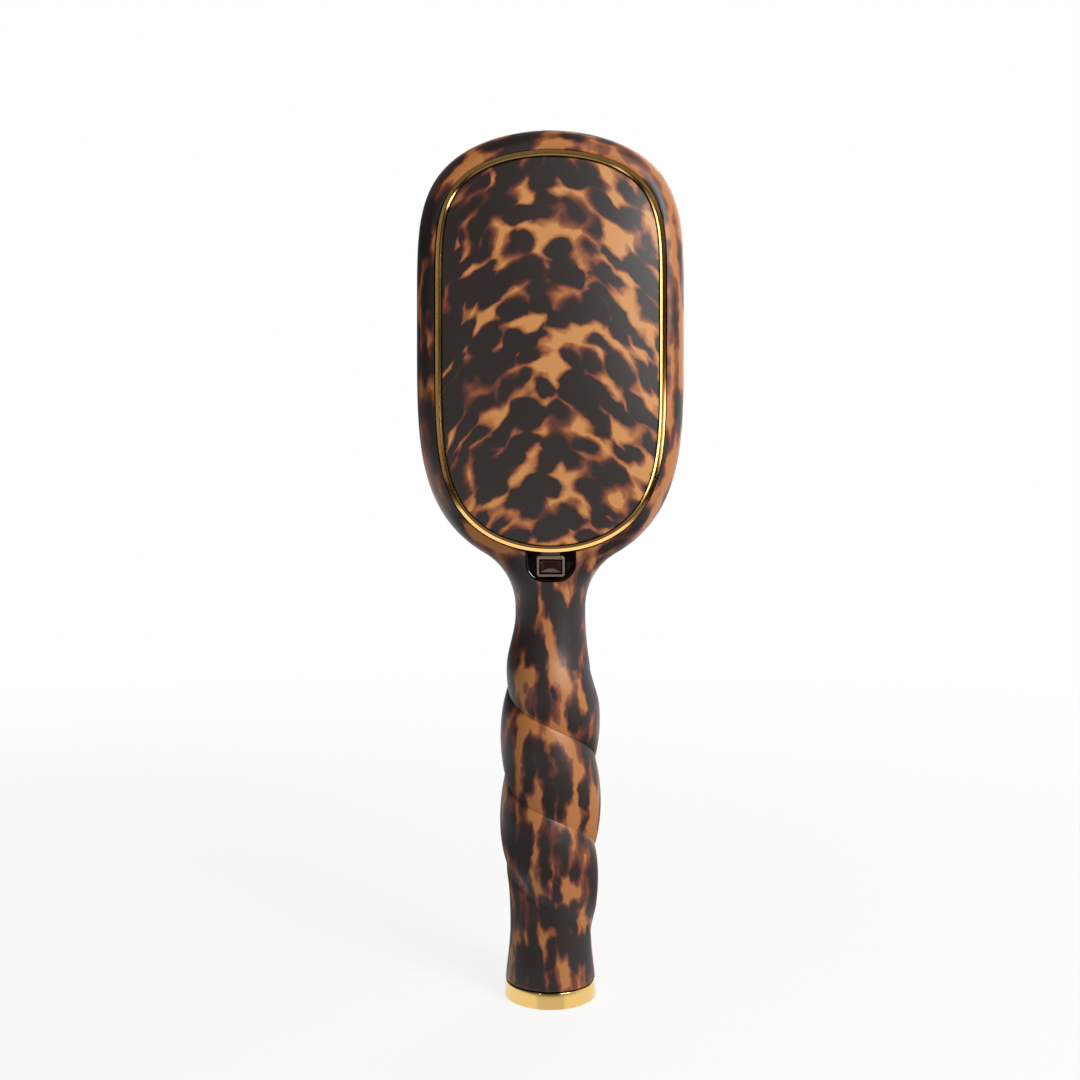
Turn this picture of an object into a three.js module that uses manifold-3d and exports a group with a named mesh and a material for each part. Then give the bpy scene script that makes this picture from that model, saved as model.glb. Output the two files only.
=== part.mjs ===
// Vanity paddle hairbrush, upright on its end cap. Millimetres, +Z up along the handle.
// The lid (the brush's back) faces -Y, the pins face +Y, and the origin is the centre
// of the end cap's flat underside.
//
// The body is one moulding: a rope-twist handle, a round neck and a paddle-shaped head.
// A hinged back panel closes a hollow in the head. Two gooseneck arms turn it on pins
// under the head's crown, and a latch loop at its lower end drops over a sprung catch in
// a small well at the neck. The front holds a rubber cushion with nylon pins.

import * as THREE from 'three';
import { mergeVertices } from 'three/addons/utils/BufferGeometryUtils.js';
import Module from 'manifold-3d';

const wasm = await Module();
wasm.setup();

// ---------------------------------------------------------------- driving dimensions

const totalLength = 240;
const seatGap = 0.3; // between pieces that rest on each other
const runGap = 0.35; // round the pieces that move

// Head: half-width, and how far it reaches above and below its widest place.
const headHalfWidth = 37.2;
const headAbove = 53.6;
const headBelow = 68.5;
const headEdge = 6.5; // how far in the rounded edge reaches
const neckRadius = 9.74; // also half the head's thickness
const neckFillet = 17.4;
const neckStraight = 1.6;
const edgeBlend = 24; // length over which the neck's round turns into the head's edge

// Handle: radii of the core under the rope, and the rope itself.
const waistRadius = 11.15;
const bellyRadius = 12.35;
const footRadius = 12.45;
const waistHeight = 19.5;
const bellyHeight = 47;
const shoulderRadius = 12;
const shoulderHeight = 80;
const ropeHeight = 1.7;
const ropeSpacing = 24.4;
const ropeLean = 0.28;
const ropeFoot = 27;
const ropeFootSlant = 8;
const ropeFootFade = 12;
const ropeTopSlant = 5;
const ropeTopFade = 16;

// End cap and its plug.
const capHeight = 4.4;
const capRadius = 12.9;
const capWall = 1.1;
const capEdge = 0.6;
const plugRadius = 6.9;
const plugDepth = 17;
const plugChamfer = 1;

// Lid: how far its ring stays inside the head's outline.
const rimWidth = 6;
const rimCrown = 8;
const rimNeck = 5.2;
const ringWidth = 1.5;
const ringHeight = 1.0;
const ringSink = 0.15; // how far the ring's underside lies below the rim's plane
const domeHeight = 3.3;
const panelThickness = 1.8;
const panelWall = 1.2;
const frameInset = 1.3;
const frameThickness = 1.8;
const ledgeWidth = 2.1;
const midWall = 2.0;
const hollowDepth = 9.34; // from the head's back plane to the hollow's floor

// Lid hinge.
const lipThickness = 1.0;
const barrelRadius = 1.5;
const pinRadius = 0.6;
const pinPlay = 0.25;
const armWidth = 4.8;
const armSpacing = 12;
const armThickness = 1.5;
const lidAngle = 75; // degrees, how far the hinge has to clear
const pinGrip = 2; // length of pin held in the body on each side of an arm
const hookPlay = 0.25; // between the hook and the rim's lip
const spokeTurn = 115; // degrees from +Z towards +Y, where the spoke leaves the barrel
const spokeHalf = 0.85; // half the spoke's width
const hookTurns = [92, 188]; // degrees, the hook's two ends
const leafLength = 4; // of the arm's leaf along the frame, beyond the hook

// Catch and its well.
const wellWidth = 13.8;
const wellHeight = 8.2;
const wellCorner = 5.2;
const wellDepth = 5.2;
const wellWall = 0.7;
const loopWidth = 7.6;
const loopHeight = 5.7;
const loopBar = 0.65;
const loopTopBar = 0.95;
const loopTopGap = 1.0; // from the ring down to the loop
const loopSink = 0.2; // how far the loop's back lies below the frame's
const tabWidth = 5;
const tabThickness = 0.8;
const tabReach = 3.5; // how far the loop's tab reaches into the frame
const catchTravel = 1.4;
const catchFlange = 1.1; // how far the flange is wider than the nub
const catchPlate = 1.2;
const catchBoss = 1.2; // height of the spring's boss
const nubSink = 0.35; // how far the nub's top lies below the frame's back
const linerRise = 1.6; // from the head's back plane down to the liner's rim
const linerFloor = 0.8;
const springRadius = 2;
const springWire = 0.5;
const springTurns = 4;
const springLength = 6;
const springPlay = 0.2; // between the spring and its boss

// Cushion, its tray and the pins.
const padEdge = 5.4; // from the head's outline to the cushion's seat, at the widest place
const padCrown = 6.5;
const padNeck = 7;
const trayFloor = 1.5;
const trayWall = 1.4;
const trayHeight = 5.6;
const cushionRise = 3.4; // from the rim's plane to the cushion's edge
const cushionDraw = 1.6; // how far its sides are drawn in
const cushionCrown = 4.2; // height of its crown over its edge
const skinThickness = 1.2;
const skinInset = 3.2;
const sliceCount = 4;
const pinMargin = 2.2; // from the skin's edge to the outermost pins
const pinPitch = 4.0;
const rowPitch = 3.4;
const pinLength = 13.5;
const pinBase = 0.75;
const pinTip = 0.5;
const pinSides = 3;
const merge = 0.2; // how far pieces of one solid reach into each other
const beyond = 6; // how far a cut runs past the face that it starts from

// Facets.
const ringSides = 32; // round the handle, and a multiple of 4
const handleRows = 42;
const quarterSteps = 12; // of each quarter of an oval outline
const domeShares = [0, 0.12, 0.3, 0.6, 1]; // of the way from the lid's edge to its middle
const wireSides = 5;
const wireSteps = 9; // of each turn of the spring

// ---------------------------------------------------------------- derived places

const backY = -neckRadius;
const frontY = neckRadius;
const headZ = totalLength - headAbove;
const handleFoot = capHeight + seatGap;
const hollowFloorY = backY + hollowDepth;
const padFloorY = hollowFloorY + midWall;
const ringY = backY + ringSink;
const frameBackY = ringY + seatGap;
const frameFrontY = frameBackY + frameThickness;
const ledgeY = frameFrontY + seatGap;

// Outlines of the head, the lid and the cushion's seat, each about the head's widest place.
const headOval = {
  w: headHalfWidth,
  up: headAbove,
  down: headBelow,
  end: 1.9,
  sideUp: 4.7,
  sideDown: 4.1,
};
const lidOval = {
  w: headHalfWidth - rimWidth,
  up: headAbove - rimCrown,
  down: headBelow - rimNeck,
  end: 2.0,
  sideUp: 5,
  sideDown: 5,
};
const padOval = {
  w: headHalfWidth - padEdge,
  up: headAbove - padCrown,
  down: headBelow - padNeck,
  end: 2.1,
  sideUp: 4.6,
  sideDown: 4.4,
};
const lidFootZ = headZ - lidOval.down;

// ---------------------------------------------------------------- solids and booleans

// Turns a three.js geometry into a closed solid with merged corners and outward faces.
function solid(geometry) {
  const bare = new THREE.BufferGeometry();
  bare.setAttribute('position', geometry.getAttribute('position').clone());
  if (geometry.index) {
    bare.setIndex(geometry.index.clone());
  }
  const merged = mergeVertices(bare, 1e-4);
  const at = merged.getAttribute('position').array;
  let triVerts = withoutSlivers(merged.index.array);
  if (signedVolume(at, triVerts) < 0) {
    triVerts = triVerts.map((v, i, all) => all[i - (i % 3) + (2 - (i % 3))]);
  }
  const mesh = new wasm.Mesh({ numProp: 3, vertProperties: new Float32Array(at), triVerts });
  return new wasm.Manifold(mesh);
}

// Drops triangles that merging has folded to a line.
function withoutSlivers(index) {
  const kept = [];
  for (let i = 0; i < index.length; i += 3) {
    const [a, b, c] = [index[i], index[i + 1], index[i + 2]];
    if (a !== b && b !== c && c !== a) {
      kept.push(a, b, c);
    }
  }
  return new Uint32Array(kept);
}

function signedVolume(at, index) {
  const a = new THREE.Vector3();
  const b = new THREE.Vector3();
  const c = new THREE.Vector3();
  let sum = 0;
  for (let i = 0; i < index.length; i += 3) {
    a.fromArray(at, index[i] * 3);
    b.fromArray(at, index[i + 1] * 3);
    c.fromArray(at, index[i + 2] * 3);
    sum += a.dot(b.cross(c));
  }
  return sum / 6;
}

function geometryOf(manifold) {
  const mesh = manifold.getMesh();
  const geometry = new THREE.BufferGeometry();
  const at = new Float32Array(mesh.numVert * 3);
  for (let i = 0; i < mesh.numVert; i += 1) {
    for (let k = 0; k < 3; k += 1) {
      at[i * 3 + k] = mesh.vertProperties[i * mesh.numProp + k];
    }
  }
  geometry.setAttribute('position', new THREE.BufferAttribute(at, 3));
  geometry.setIndex(new THREE.BufferAttribute(new Uint32Array(mesh.triVerts), 1));
  return geometry;
}

function fromPoints(points, index) {
  const geometry = new THREE.BufferGeometry();
  geometry.setAttribute('position', new THREE.Float32BufferAttribute(points.flat(), 3));
  geometry.setIndex(index);
  return geometry;
}

// ---------------------------------------------------------------- outlines in the X-Z plane

const smooth = (t) => {
  const s = Math.min(Math.max(t, 0), 1);
  return s * s * (3 - 2 * s);
};

// A point of an oval: |x/w|^end + |z/h|^side = 1, with its own h and side above and below.
function ovalPoint(oval, turn) {
  const c = Math.cos(turn);
  const s = Math.sin(turn);
  const h = s < 0 ? oval.down : oval.up;
  const side = s < 0 ? oval.sideDown : oval.sideUp;
  const x = Math.sign(c) * oval.w * Math.abs(c) ** (2 / oval.end);
  const z = headZ + Math.sign(s) * h * Math.abs(s) ** (2 / side);
  return new THREE.Vector2(x, z);
}

// Height of the oval's edge over its widest place, at a distance x from the middle.
function ovalTop(oval, x) {
  return headZ + oval.up * (1 - Math.abs(x / oval.w) ** oval.end) ** (1 / oval.sideUp);
}

// Half the oval's width at a height.
function ovalHalf(oval, z) {
  const h = z < headZ ? oval.down : oval.up;
  const side = z < headZ ? oval.sideDown : oval.sideUp;
  return oval.w * Math.max(1 - Math.abs((z - headZ) / h) ** side, 0) ** (1 / oval.end);
}

// The oval's loop, counter-clockwise, with the steps spaced so that its ends stay round.
function ovalLoop(oval, steps = quarterSteps) {
  const points = [];
  for (let i = 0; i < 4 * steps; i += 1) {
    points.push(ovalPoint(oval, (i / (4 * steps)) * 2 * Math.PI));
  }
  return points;
}

// Moves a closed counter-clockwise loop inwards by a distance along its normals.
function inset(loop, distance) {
  const count = loop.length;
  return loop.map((p, i) => {
    const before = loop[(i + count - 1) % count];
    const after = loop[(i + 1) % count];
    const along = after.clone().sub(before).normalize();
    return new THREE.Vector2(p.x - along.y * distance, p.y + along.x * distance);
  });
}

// A prism of an X-Z outline from y0 to y1.
function prism(outline, y0, y1) {
  const shape = outline instanceof THREE.Shape ? outline : new THREE.Shape(outline);
  const settings = { depth: y1 - y0, bevelEnabled: false, curveSegments: 8 };
  return new THREE.ExtrudeGeometry(shape, settings).rotateX(Math.PI / 2).translate(0, y1, 0);
}

// A closed skin through a stack of loops. Each level draws the loop in by a distance,
// shrinks it towards the head's middle by a share, and lies at y, a number or a rule.
function stack(loop, levels) {
  const points = [];
  const index = [];
  const count = loop.length;
  levels.forEach((level) => {
    const ring = level.inset ? inset(loop, level.inset) : loop;
    ring.forEach((p) => {
      const x = p.x * (1 - (level.shrink ?? 0));
      const z = headZ + (p.y - headZ) * (1 - (level.shrink ?? 0));
      points.push([x, typeof level.y === 'function' ? level.y(x, z) : level.y, z]);
    });
  });
  for (let row = 0; row + 1 < levels.length; row += 1) {
    for (let i = 0; i < count; i += 1) {
      const j = (i + 1) % count;
      const [a, b, c, d] = [row * count + i, row * count + j, (row + 1) * count + i, (row + 1) * count + j];
      index.push(a, b, d, a, d, c);
    }
  }
  return fromPoints(points, index);
}

// A band round a loop: the stack of a profile that closes on itself.
const band = (loop, profile) => stack(loop, [...profile, profile[0]]);

// ---------------------------------------------------------------- brush body

// Where the neck's fillet meets the head's oval: the circle beside the neck touches both.
function neckJoin() {
  let low = -Math.PI / 2 + 1e-3;
  let high = 0;
  for (let i = 0; i < 50; i += 1) {
    const turn = (low + high) / 2;
    const reach = ovalPoint(headOval, turn).x + neckFillet * ovalNormal(headOval, turn).x;
    if (reach < neckRadius + neckFillet) {
      low = turn;
    } else {
      high = turn;
    }
  }
  const normal = ovalNormal(headOval, high);
  const touch = ovalPoint(headOval, high);
  return { turn: high, angle: Math.atan2(-normal.y, normal.x), centreZ: touch.y + neckFillet * normal.y };
}

function ovalNormal(oval, turn) {
  const step = 1e-4;
  const along = ovalPoint(oval, turn + step).sub(ovalPoint(oval, turn - step)).normalize();
  return new THREE.Vector2(along.y, -along.x);
}

const join = neckJoin();
const neckZ = join.centreZ - neckStraight;

// Stations up the head's right side: a point of the outline, its outward normal, its edge.
function rightSide() {
  const stations = [{ p: new THREE.Vector2(neckRadius, neckZ), n: new THREE.Vector2(1, 0) }];
  const arcSteps = 6;
  for (let i = 0; i <= arcSteps; i += 1) {
    const turn = (join.angle * i) / arcSteps;
    const n = new THREE.Vector2(Math.cos(turn), -Math.sin(turn));
    const p = new THREE.Vector2(neckRadius + neckFillet - neckFillet * n.x, join.centreZ - neckFillet * n.y);
    stations.push({ p, n });
  }
  const ovalSteps = 24;
  for (let i = 1; i <= ovalSteps; i += 1) {
    const turn = join.turn + ((Math.PI / 2 - join.turn) * i) / ovalSteps;
    stations.push({ p: ovalPoint(headOval, turn), n: ovalNormal(headOval, turn) });
  }
  return stations;
}

// The head: an elliptical edge carried along its outline, closed by two flat faces.
function headSkin() {
  const right = rightSide();
  const left = right.slice(0, -1).reverse();
  const mirrored = left.map(({ p, n }) => ({
    p: new THREE.Vector2(-p.x, p.y),
    n: new THREE.Vector2(-n.x, n.y),
  }));
  const stations = [...right, ...mirrored];
  const points = [];
  const index = [];
  const steps = ringSides / 2;
  stations.forEach(({ p, n }) => {
    const edge = neckRadius + (headEdge - neckRadius) * smooth((p.y - join.centreZ) / edgeBlend);
    for (let k = 0; k <= steps; k += 1) {
      const turn = Math.PI * (k / steps - 0.5);
      const out = edge * (Math.cos(turn) - 1);
      points.push([p.x + n.x * out, neckRadius * Math.sin(turn), p.y + n.y * out]);
    }
  });
  for (let i = 0; i + 1 < stations.length; i += 1) {
    for (let k = 0; k < steps; k += 1) {
      const a = i * (steps + 1) + k;
      const b = a + steps + 1;
      index.push(a, a + 1, b + 1, a, b + 1, b);
    }
  }
  return { points, index, stations, steps };
}

// Fills the flat back and front faces between the edge's inner lines.
function addFlats(skin) {
  [0, skin.steps].forEach((k) => {
    const corner = skin.stations.map((_, i) => i * (skin.steps + 1) + k);
    const wide = corner.filter((c) => Math.abs(skin.points[c][0]) > 1e-3 || skin.points[c][2] > headZ);
    const first = corner[1];
    const line = [first, ...wide];
    const flat = line.map((c) => new THREE.Vector2(skin.points[c][0], skin.points[c][2]));
    THREE.ShapeUtils.triangulateShape(flat, []).forEach(([a, b, c]) => {
      const order = k === 0 ? [a, b, c] : [a, c, b];
      skin.index.push(...order.map((o) => line[o]));
    });
  });
}

// Radius of the handle's core at a height, a smooth line through its named stations.
function coreRadius(z) {
  const stations = [
    [handleFoot, footRadius],
    [waistHeight, waistRadius],
    [bellyHeight, bellyRadius],
    [shoulderHeight, shoulderRadius],
    [neckZ, neckRadius],
  ];
  let i = 0;
  while (i < stations.length - 2 && z > stations[i + 1][0]) {
    i += 1;
  }
  const [z0, r0] = stations[i];
  const [z1, r1] = stations[i + 1];
  const t = Math.min(Math.max((z - z0) / (z1 - z0), 0), 1);
  const slopeAt = (k) => {
    if (k === 0) {
      return (stations[1][1] - stations[0][1]) / (stations[1][0] - stations[0][0]);
    }
    return k === 3 ? (neckRadius - shoulderRadius) / (2 * (neckZ - shoulderHeight)) : 0;
  };
  const m0 = slopeAt(i) * (z1 - z0);
  const m1 = slopeAt(i + 1) * (z1 - z0);
  const [t2, t3] = [t * t, t * t * t];
  return (2 * t3 - 3 * t2 + 1) * r0 + (t3 - 2 * t2 + t) * m0 + (3 * t2 - 2 * t3) * r1 + (t3 - t2) * m1;
}

// The rope's two strands wind down to the right, seen from the back. A column follows a
// strand, so a crease is one column. angle runs from -Y towards +X.
function strandAngle(column, z) {
  const lean = ropeLean * smooth((neckZ - z) / ropeTopFade);
  const turn = (column / ringSides) * 2 * Math.PI + ((neckZ - z) / ropeSpacing) * Math.PI;
  let angle = turn;
  for (let i = 0; i < 12; i += 1) {
    angle = turn + lean * Math.sin(angle);
  }
  return angle;
}

function handleRadius(column, angle, z) {
  const side = Math.sin(angle);
  const fromTop = neckZ - ropeTopSlant * (1 + side) - z;
  const fromFoot = z - (ropeFoot - ropeFootSlant * side) + ropeFootFade / 2;
  const fade = smooth(fromTop / ropeTopFade) * smooth(fromFoot / ropeFootFade);
  const crease = ringSides / 8;
  const lobe = Math.abs(Math.sin(((column + crease) / ringSides) * 2 * Math.PI)) ** 0.75;
  return coreRadius(z) + ropeHeight * fade * lobe;
}

// The handle's skin from the neck down, closed by its foot.
function addHandle(skin) {
  const start = skin.points.length;
  for (let row = 0; row <= handleRows; row += 1) {
    const z = neckZ + ((handleFoot - neckZ) * row) / handleRows;
    for (let i = 0; i < ringSides; i += 1) {
      const angle = strandAngle(i, z);
      const r = row === 0 ? neckRadius : handleRadius(i, angle, z);
      skin.points.push([r * Math.sin(angle), -r * Math.cos(angle), z]);
    }
  }
  const at = (row, i) => start + row * ringSides + (i % ringSides);
  for (let row = 0; row < handleRows; row += 1) {
    for (let i = 0; i < ringSides; i += 1) {
      skin.index.push(at(row, i), at(row + 1, i), at(row, i + 1));
      skin.index.push(at(row, i + 1), at(row + 1, i), at(row + 1, i + 1));
    }
  }
  skin.points.push([0, 0, handleFoot]);
  for (let i = 0; i < ringSides; i += 1) {
    skin.index.push(at(handleRows, i), skin.points.length - 1, at(handleRows, i + 1));
  }
}

const cylinder = (radius, length, sides) => new THREE.CylinderGeometry(radius, radius, length, sides);

const boxFrom = (x0, x1, y0, y1, z0, z1) =>
  new THREE.BoxGeometry(x1 - x0, y1 - y0, z1 - z0).translate((x0 + x1) / 2, (y0 + y1) / 2, (z0 + z1) / 2);

// ---------------------------------------------------------------- lid hinge

// The lid's crown edge has to pass over the rim's lip when it opens. The pivot lies
// lipThickness, the pocket's gap and the barrel below the rim, and far enough beyond
// the crown for the edge to rise clear of the rim at lidAngle.
const pocketRadius = barrelRadius + runGap;
const pivotDrop = lipThickness + pocketRadius;
const openTurn = (lidAngle * Math.PI) / 180;
const pivotBeyond = (pivotDrop * (1 - Math.cos(openTurn))) / Math.sin(openTurn) + 0.15;
const pivotY = backY + pivotDrop;
const pivotZ = headZ + lidOval.up + pivotBeyond;
const armReach = armSpacing / 2 + armWidth / 2;
const lipDrop = headZ + lidOval.up - ovalTop(lidOval, armReach);
const hookInner = Math.hypot(pivotDrop, pivotBeyond - runGap + lipDrop) + hookPlay;
const hookOuter = hookInner + armThickness;
const armSides = [-1, 1];

// One gooseneck arm in the Y-Z plane, with its barrel at the pivot: a spoke goes inwards
// from the barrel, and a hook bends round the rim's lip to the lid's frame.
function armOutline() {
  const [hookStart, hookEnd] = hookTurns.map(THREE.MathUtils.degToRad);
  const shape = new THREE.Shape();
  const polar = (r, turn) => [r * Math.cos(turn), r * Math.sin(turn)];
  const spokeAt = (r, side) => THREE.MathUtils.degToRad(spokeTurn) + side * Math.asin(spokeHalf / r);
  shape.absarc(0, 0, barrelRadius, spokeAt(barrelRadius, 1), spokeAt(barrelRadius, -1) + 2 * Math.PI, false);
  shape.lineTo(...polar(hookInner, spokeAt(hookInner, -1)));
  shape.absarc(0, 0, hookInner, spokeAt(hookInner, -1), hookStart, true);
  shape.absarc(0, 0, hookOuter, hookStart, hookEnd, false);
  shape.absarc(0, 0, hookInner, hookEnd, spokeAt(hookInner, 1), true);
  const bore = new THREE.Path();
  bore.absarc(0, 0, pinRadius + pinPlay, 0, 2 * Math.PI, true);
  shape.holes.push(bore);
  return shape;
}

// Shape x is +Z and shape y is +Y, seen from -X, carried along X.
function arm(side) {
  const settings = { depth: armWidth, bevelEnabled: false, curveSegments: 6 };
  const geometry = new THREE.ExtrudeGeometry(armOutline(), settings).translate(0, 0, -armWidth / 2);
  const turned = new THREE.Matrix4().makeBasis(
    new THREE.Vector3(0, 0, 1),
    new THREE.Vector3(0, 1, 0),
    new THREE.Vector3(-1, 0, 0),
  );
  return geometry.applyMatrix4(turned).translate((side * armSpacing) / 2, pivotY, pivotZ);
}

function crossPin(radius, length, side) {
  return cylinder(radius, length, 12).rotateZ(Math.PI / 2).translate((side * armSpacing) / 2, pivotY, pivotZ);
}

// The room an arm needs in the head's crown: round the barrel, and below and inside it.
function hingePocket(side) {
  const half = armWidth / 2 + runGap;
  const middle = (side * armSpacing) / 2;
  const [left, right] = [middle - half, middle + half];
  const foot = pivotZ - hookOuter - leafLength;
  const round = cylinder(pocketRadius, 2 * half, 20).rotateZ(Math.PI / 2).translate(middle, pivotY, pivotZ);
  const under = boxFrom(left, right, pivotY, hollowFloorY, foot, pivotZ + pocketRadius - merge);
  const inner = boxFrom(left, right, pivotY - pocketRadius, hollowFloorY, foot, pivotZ - pivotBeyond / 2);
  const play = crossPin(pinRadius + pinPlay, 2 * half + 2 * pinGrip, side);
  return solid(round).add(solid(under)).add(solid(inner)).add(solid(play));
}

// ---------------------------------------------------------------- well and catch

const wellTopZ = lidFootZ + 1.2;
const wellFloorY = backY + wellDepth;
const loopTopZ = lidFootZ - loopTopGap;
const loopWindow = { x: loopWidth - 2 * loopBar, z: loopHeight - loopTopBar - loopBar };
const catchZ = loopTopZ - loopTopBar - loopWindow.z / 2;
const nub = { x: loopWindow.x - 2 * runGap, z: loopWindow.z - 2 * runGap };
const flange = { x: nub.x + 2 * catchFlange, z: nub.z + 2 * catchFlange };
const flangeBackY = wellFloorY + seatGap;
const flangeFrontY = flangeBackY + catchPlate;
const recessFloorY = flangeFrontY + catchTravel + seatGap;
const nubTopY = frameBackY + nubSink;

// A letter D lying on its back: flat above, with two round lower corners.
function wellOutline(grow) {
  const half = wellWidth / 2 + grow;
  const foot = lidFootZ - wellHeight - grow;
  const corner = wellCorner + grow;
  const shape = new THREE.Shape();
  shape.moveTo(-half, wellTopZ + grow);
  shape.lineTo(-half, foot + corner);
  shape.absarc(-half + corner, foot + corner, corner, Math.PI, 1.5 * Math.PI, false);
  shape.absarc(half - corner, foot + corner, corner, 1.5 * Math.PI, 2 * Math.PI, false);
  shape.lineTo(half, wellTopZ + grow);
  return shape;
}

// A block of an X-Z size about the catch's middle.
function slot(size, grow, y0, y1) {
  const x = size.x / 2 + grow;
  const z = size.z / 2 + grow;
  return boxFrom(-x, x, y0, y1, catchZ - z, catchZ + z);
}

const alongY = (radius, y0, y1, z, sides) => cylinder(radius, y1 - y0, sides).translate(0, (y0 + y1) / 2, z);

// The well's liner: a D-shaped tray, open above, with a window for the catch.
function wellInsert() {
  const top = backY + linerRise;
  const floor = wellFloorY - linerFloor;
  const half = wellWidth / 2 - seatGap - wellWall;
  const outside = solid(prism(wellOutline(-seatGap), top, wellFloorY));
  const inside = solid(prism(wellOutline(-seatGap - wellWall), top - beyond, floor));
  const mouthZ = lidFootZ - wellCorner / 2;
  const mouth = solid(boxFrom(-half, half, top - beyond, floor, mouthZ, wellTopZ + beyond));
  const window = solid(slot(nub, runGap, top, wellFloorY + beyond));
  return outside.subtract(inside).subtract(mouth).subtract(window);
}

// The catch: a flange under the liner, a nub up through the loop, and a spring boss.
function catchButton() {
  const bossRadius = springRadius - springWire - springPlay;
  const plate = solid(slot(flange, 0, flangeBackY, flangeFrontY));
  const post = solid(slot(nub, 0, nubTopY, flangeBackY + merge));
  const boss = solid(alongY(bossRadius, flangeFrontY - merge, flangeFrontY + catchBoss, catchZ, 12));
  return plate.add(post).add(boss);
}

// A helix about +Y from y0 to y1, one unbroken wire.
class Helix extends THREE.Curve {
  constructor(radius, y0, y1, z, turns) {
    super();
    Object.assign(this, { radius, y0, y1, z, turns });
  }

  getPoint(t) {
    const turn = t * this.turns * 2 * Math.PI;
    const y = this.y0 + (this.y1 - this.y0) * t;
    return new THREE.Vector3(this.radius * Math.cos(turn), y, this.z + this.radius * Math.sin(turn));
  }
}

const springBackY = flangeFrontY + seatGap;
const springFrontY = springBackY + springLength;

function catchSpring() {
  const half = springWire / 2;
  const path = new Helix(springRadius - half, springBackY + half, springFrontY - half, catchZ, springTurns);
  const wire = new THREE.Shape();
  wire.absarc(0, 0, half, 0, 2 * Math.PI, false);
  return new THREE.ExtrudeGeometry(wire, {
    steps: springTurns * wireSteps,
    curveSegments: wireSides / 2,
    extrudePath: path,
    bevelEnabled: false,
  });
}

// ---------------------------------------------------------------- body, cut for its pieces

function brushBody() {
  const skin = headSkin();
  addFlats(skin);
  addHandle(skin);
  const lidLoop = ovalLoop(lidOval);
  const padLoop = ovalLoop(padOval);
  let body = solid(fromPoints(skin.points, skin.index));
  const cuts = [
    prism(inset(lidLoop, -runGap), backY - beyond, ledgeY),
    prism(inset(lidLoop, frameInset + ledgeWidth), backY - beyond, hollowFloorY),
    prism(padLoop, padFloorY, frontY + beyond),
    prism(wellOutline(0), backY - beyond, wellFloorY),
    slot(flange, runGap, backY, recessFloorY),
    alongY(springRadius + runGap, backY, springFrontY + seatGap, catchZ, 20),
    cylinder(plugRadius + seatGap, 2 * plugDepth, 24).rotateX(Math.PI / 2).translate(0, 0, handleFoot),
  ];
  cuts.forEach((cut) => {
    body = body.subtract(solid(cut));
  });
  armSides.forEach((side) => {
    body = body.subtract(hingePocket(side));
  });
  return body;
}

// ---------------------------------------------------------------- lid

// A bead that lies flat on the frame and the rim's plane, rounded on top.
function trimRing() {
  const top = ringY - ringHeight;
  const profile = [
    { inset: 0, y: ringY },
    { inset: 0, y: top + 0.45 * ringHeight },
    { inset: 0.16 * ringWidth, y: top + 0.12 * ringHeight },
    { inset: 0.5 * ringWidth, y: top },
    { inset: 0.84 * ringWidth, y: top + 0.12 * ringHeight },
    { inset: ringWidth, y: top + 0.45 * ringHeight },
    { inset: ringWidth, y: ringY },
  ];
  return band(ovalLoop(lidOval), profile);
}

// The domed back panel, hollowed to an even wall.
function lidPanel() {
  const edgeY = ringY - 0.55 * ringHeight;
  const edge = ringWidth + seatGap;
  const innerEdge = edge + panelWall;
  const domeY = (share) => edgeY - domeHeight * (1 - (1 - share) ** 2.2);
  const hollowY = (share) => Math.min(domeY(share) + panelThickness, ringY - 0.02);
  const inside = domeShares.map((share) => ({ inset: innerEdge, shrink: share, y: hollowY(share) }));
  const foot = [
    { inset: innerEdge, y: ringY },
    { inset: edge, y: ringY },
  ];
  const outside = domeShares.map((share) => ({ inset: edge, shrink: share, y: domeY(share) }));
  return stack(ovalLoop(lidOval), [...inside.reverse(), ...foot, ...outside]);
}

// The carrier: a plate in the rim's rebate, with the gooseneck arms and a seat for the
// latch loop's tab.
function lidFrame() {
  const loop = inset(ovalLoop(lidOval), frameInset);
  let frame = solid(prism(loop, frameBackY, frameFrontY));
  armSides.forEach((side) => {
    const left = (side * armSpacing - armWidth) / 2;
    const [foot, top] = [pivotZ - hookOuter - leafLength, pivotZ - hookInner - merge / 2];
    const leaf = boxFrom(left, left + armWidth, frameBackY, frameFrontY, foot, top);
    frame = frame.add(solid(arm(side))).add(solid(leaf));
  });
  return frame.subtract(solid(loopTab(seatGap, beyond)));
}

// The latch loop's tab, from the loop's top bar up into the frame's seat. The seat is the
// same block, larger by the gap and open to the front.
function loopTab(gap, front) {
  const half = tabWidth / 2 + gap;
  const back = frameFrontY - tabThickness - gap;
  const foot = loopTopZ - loopTopBar / 2;
  const top = lidFootZ + frameInset + tabReach + gap;
  return boxFrom(-half, half, back, frameFrontY + front, foot, top);
}

// The latch loop: a rectangular eye below the lid's edge, seated in the frame by its tab.
function latchLoop() {
  const half = loopWidth / 2;
  const eye = boxFrom(-half, half, frameBackY + loopSink, frameFrontY, loopTopZ - loopHeight, loopTopZ);
  const window = slot(loopWindow, 0, backY - beyond, wellFloorY);
  return solid(eye).subtract(solid(window)).add(solid(loopTab(0, 0)));
}

// ---------------------------------------------------------------- cushion, tray and pins

const trayBackY = padFloorY + seatGap;
const trayTopY = trayBackY + trayHeight;
const padLoopInner = runGap + trayWall + seatGap;
const cushionBackY = trayBackY + trayFloor + seatGap;
const cushionEdgeY = frontY + cushionRise;
const skinOval = {
  ...padOval,
  w: padOval.w - padLoopInner - skinInset,
  up: padOval.up - padLoopInner - skinInset,
  down: padOval.down - padLoopInner - skinInset,
};

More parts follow.
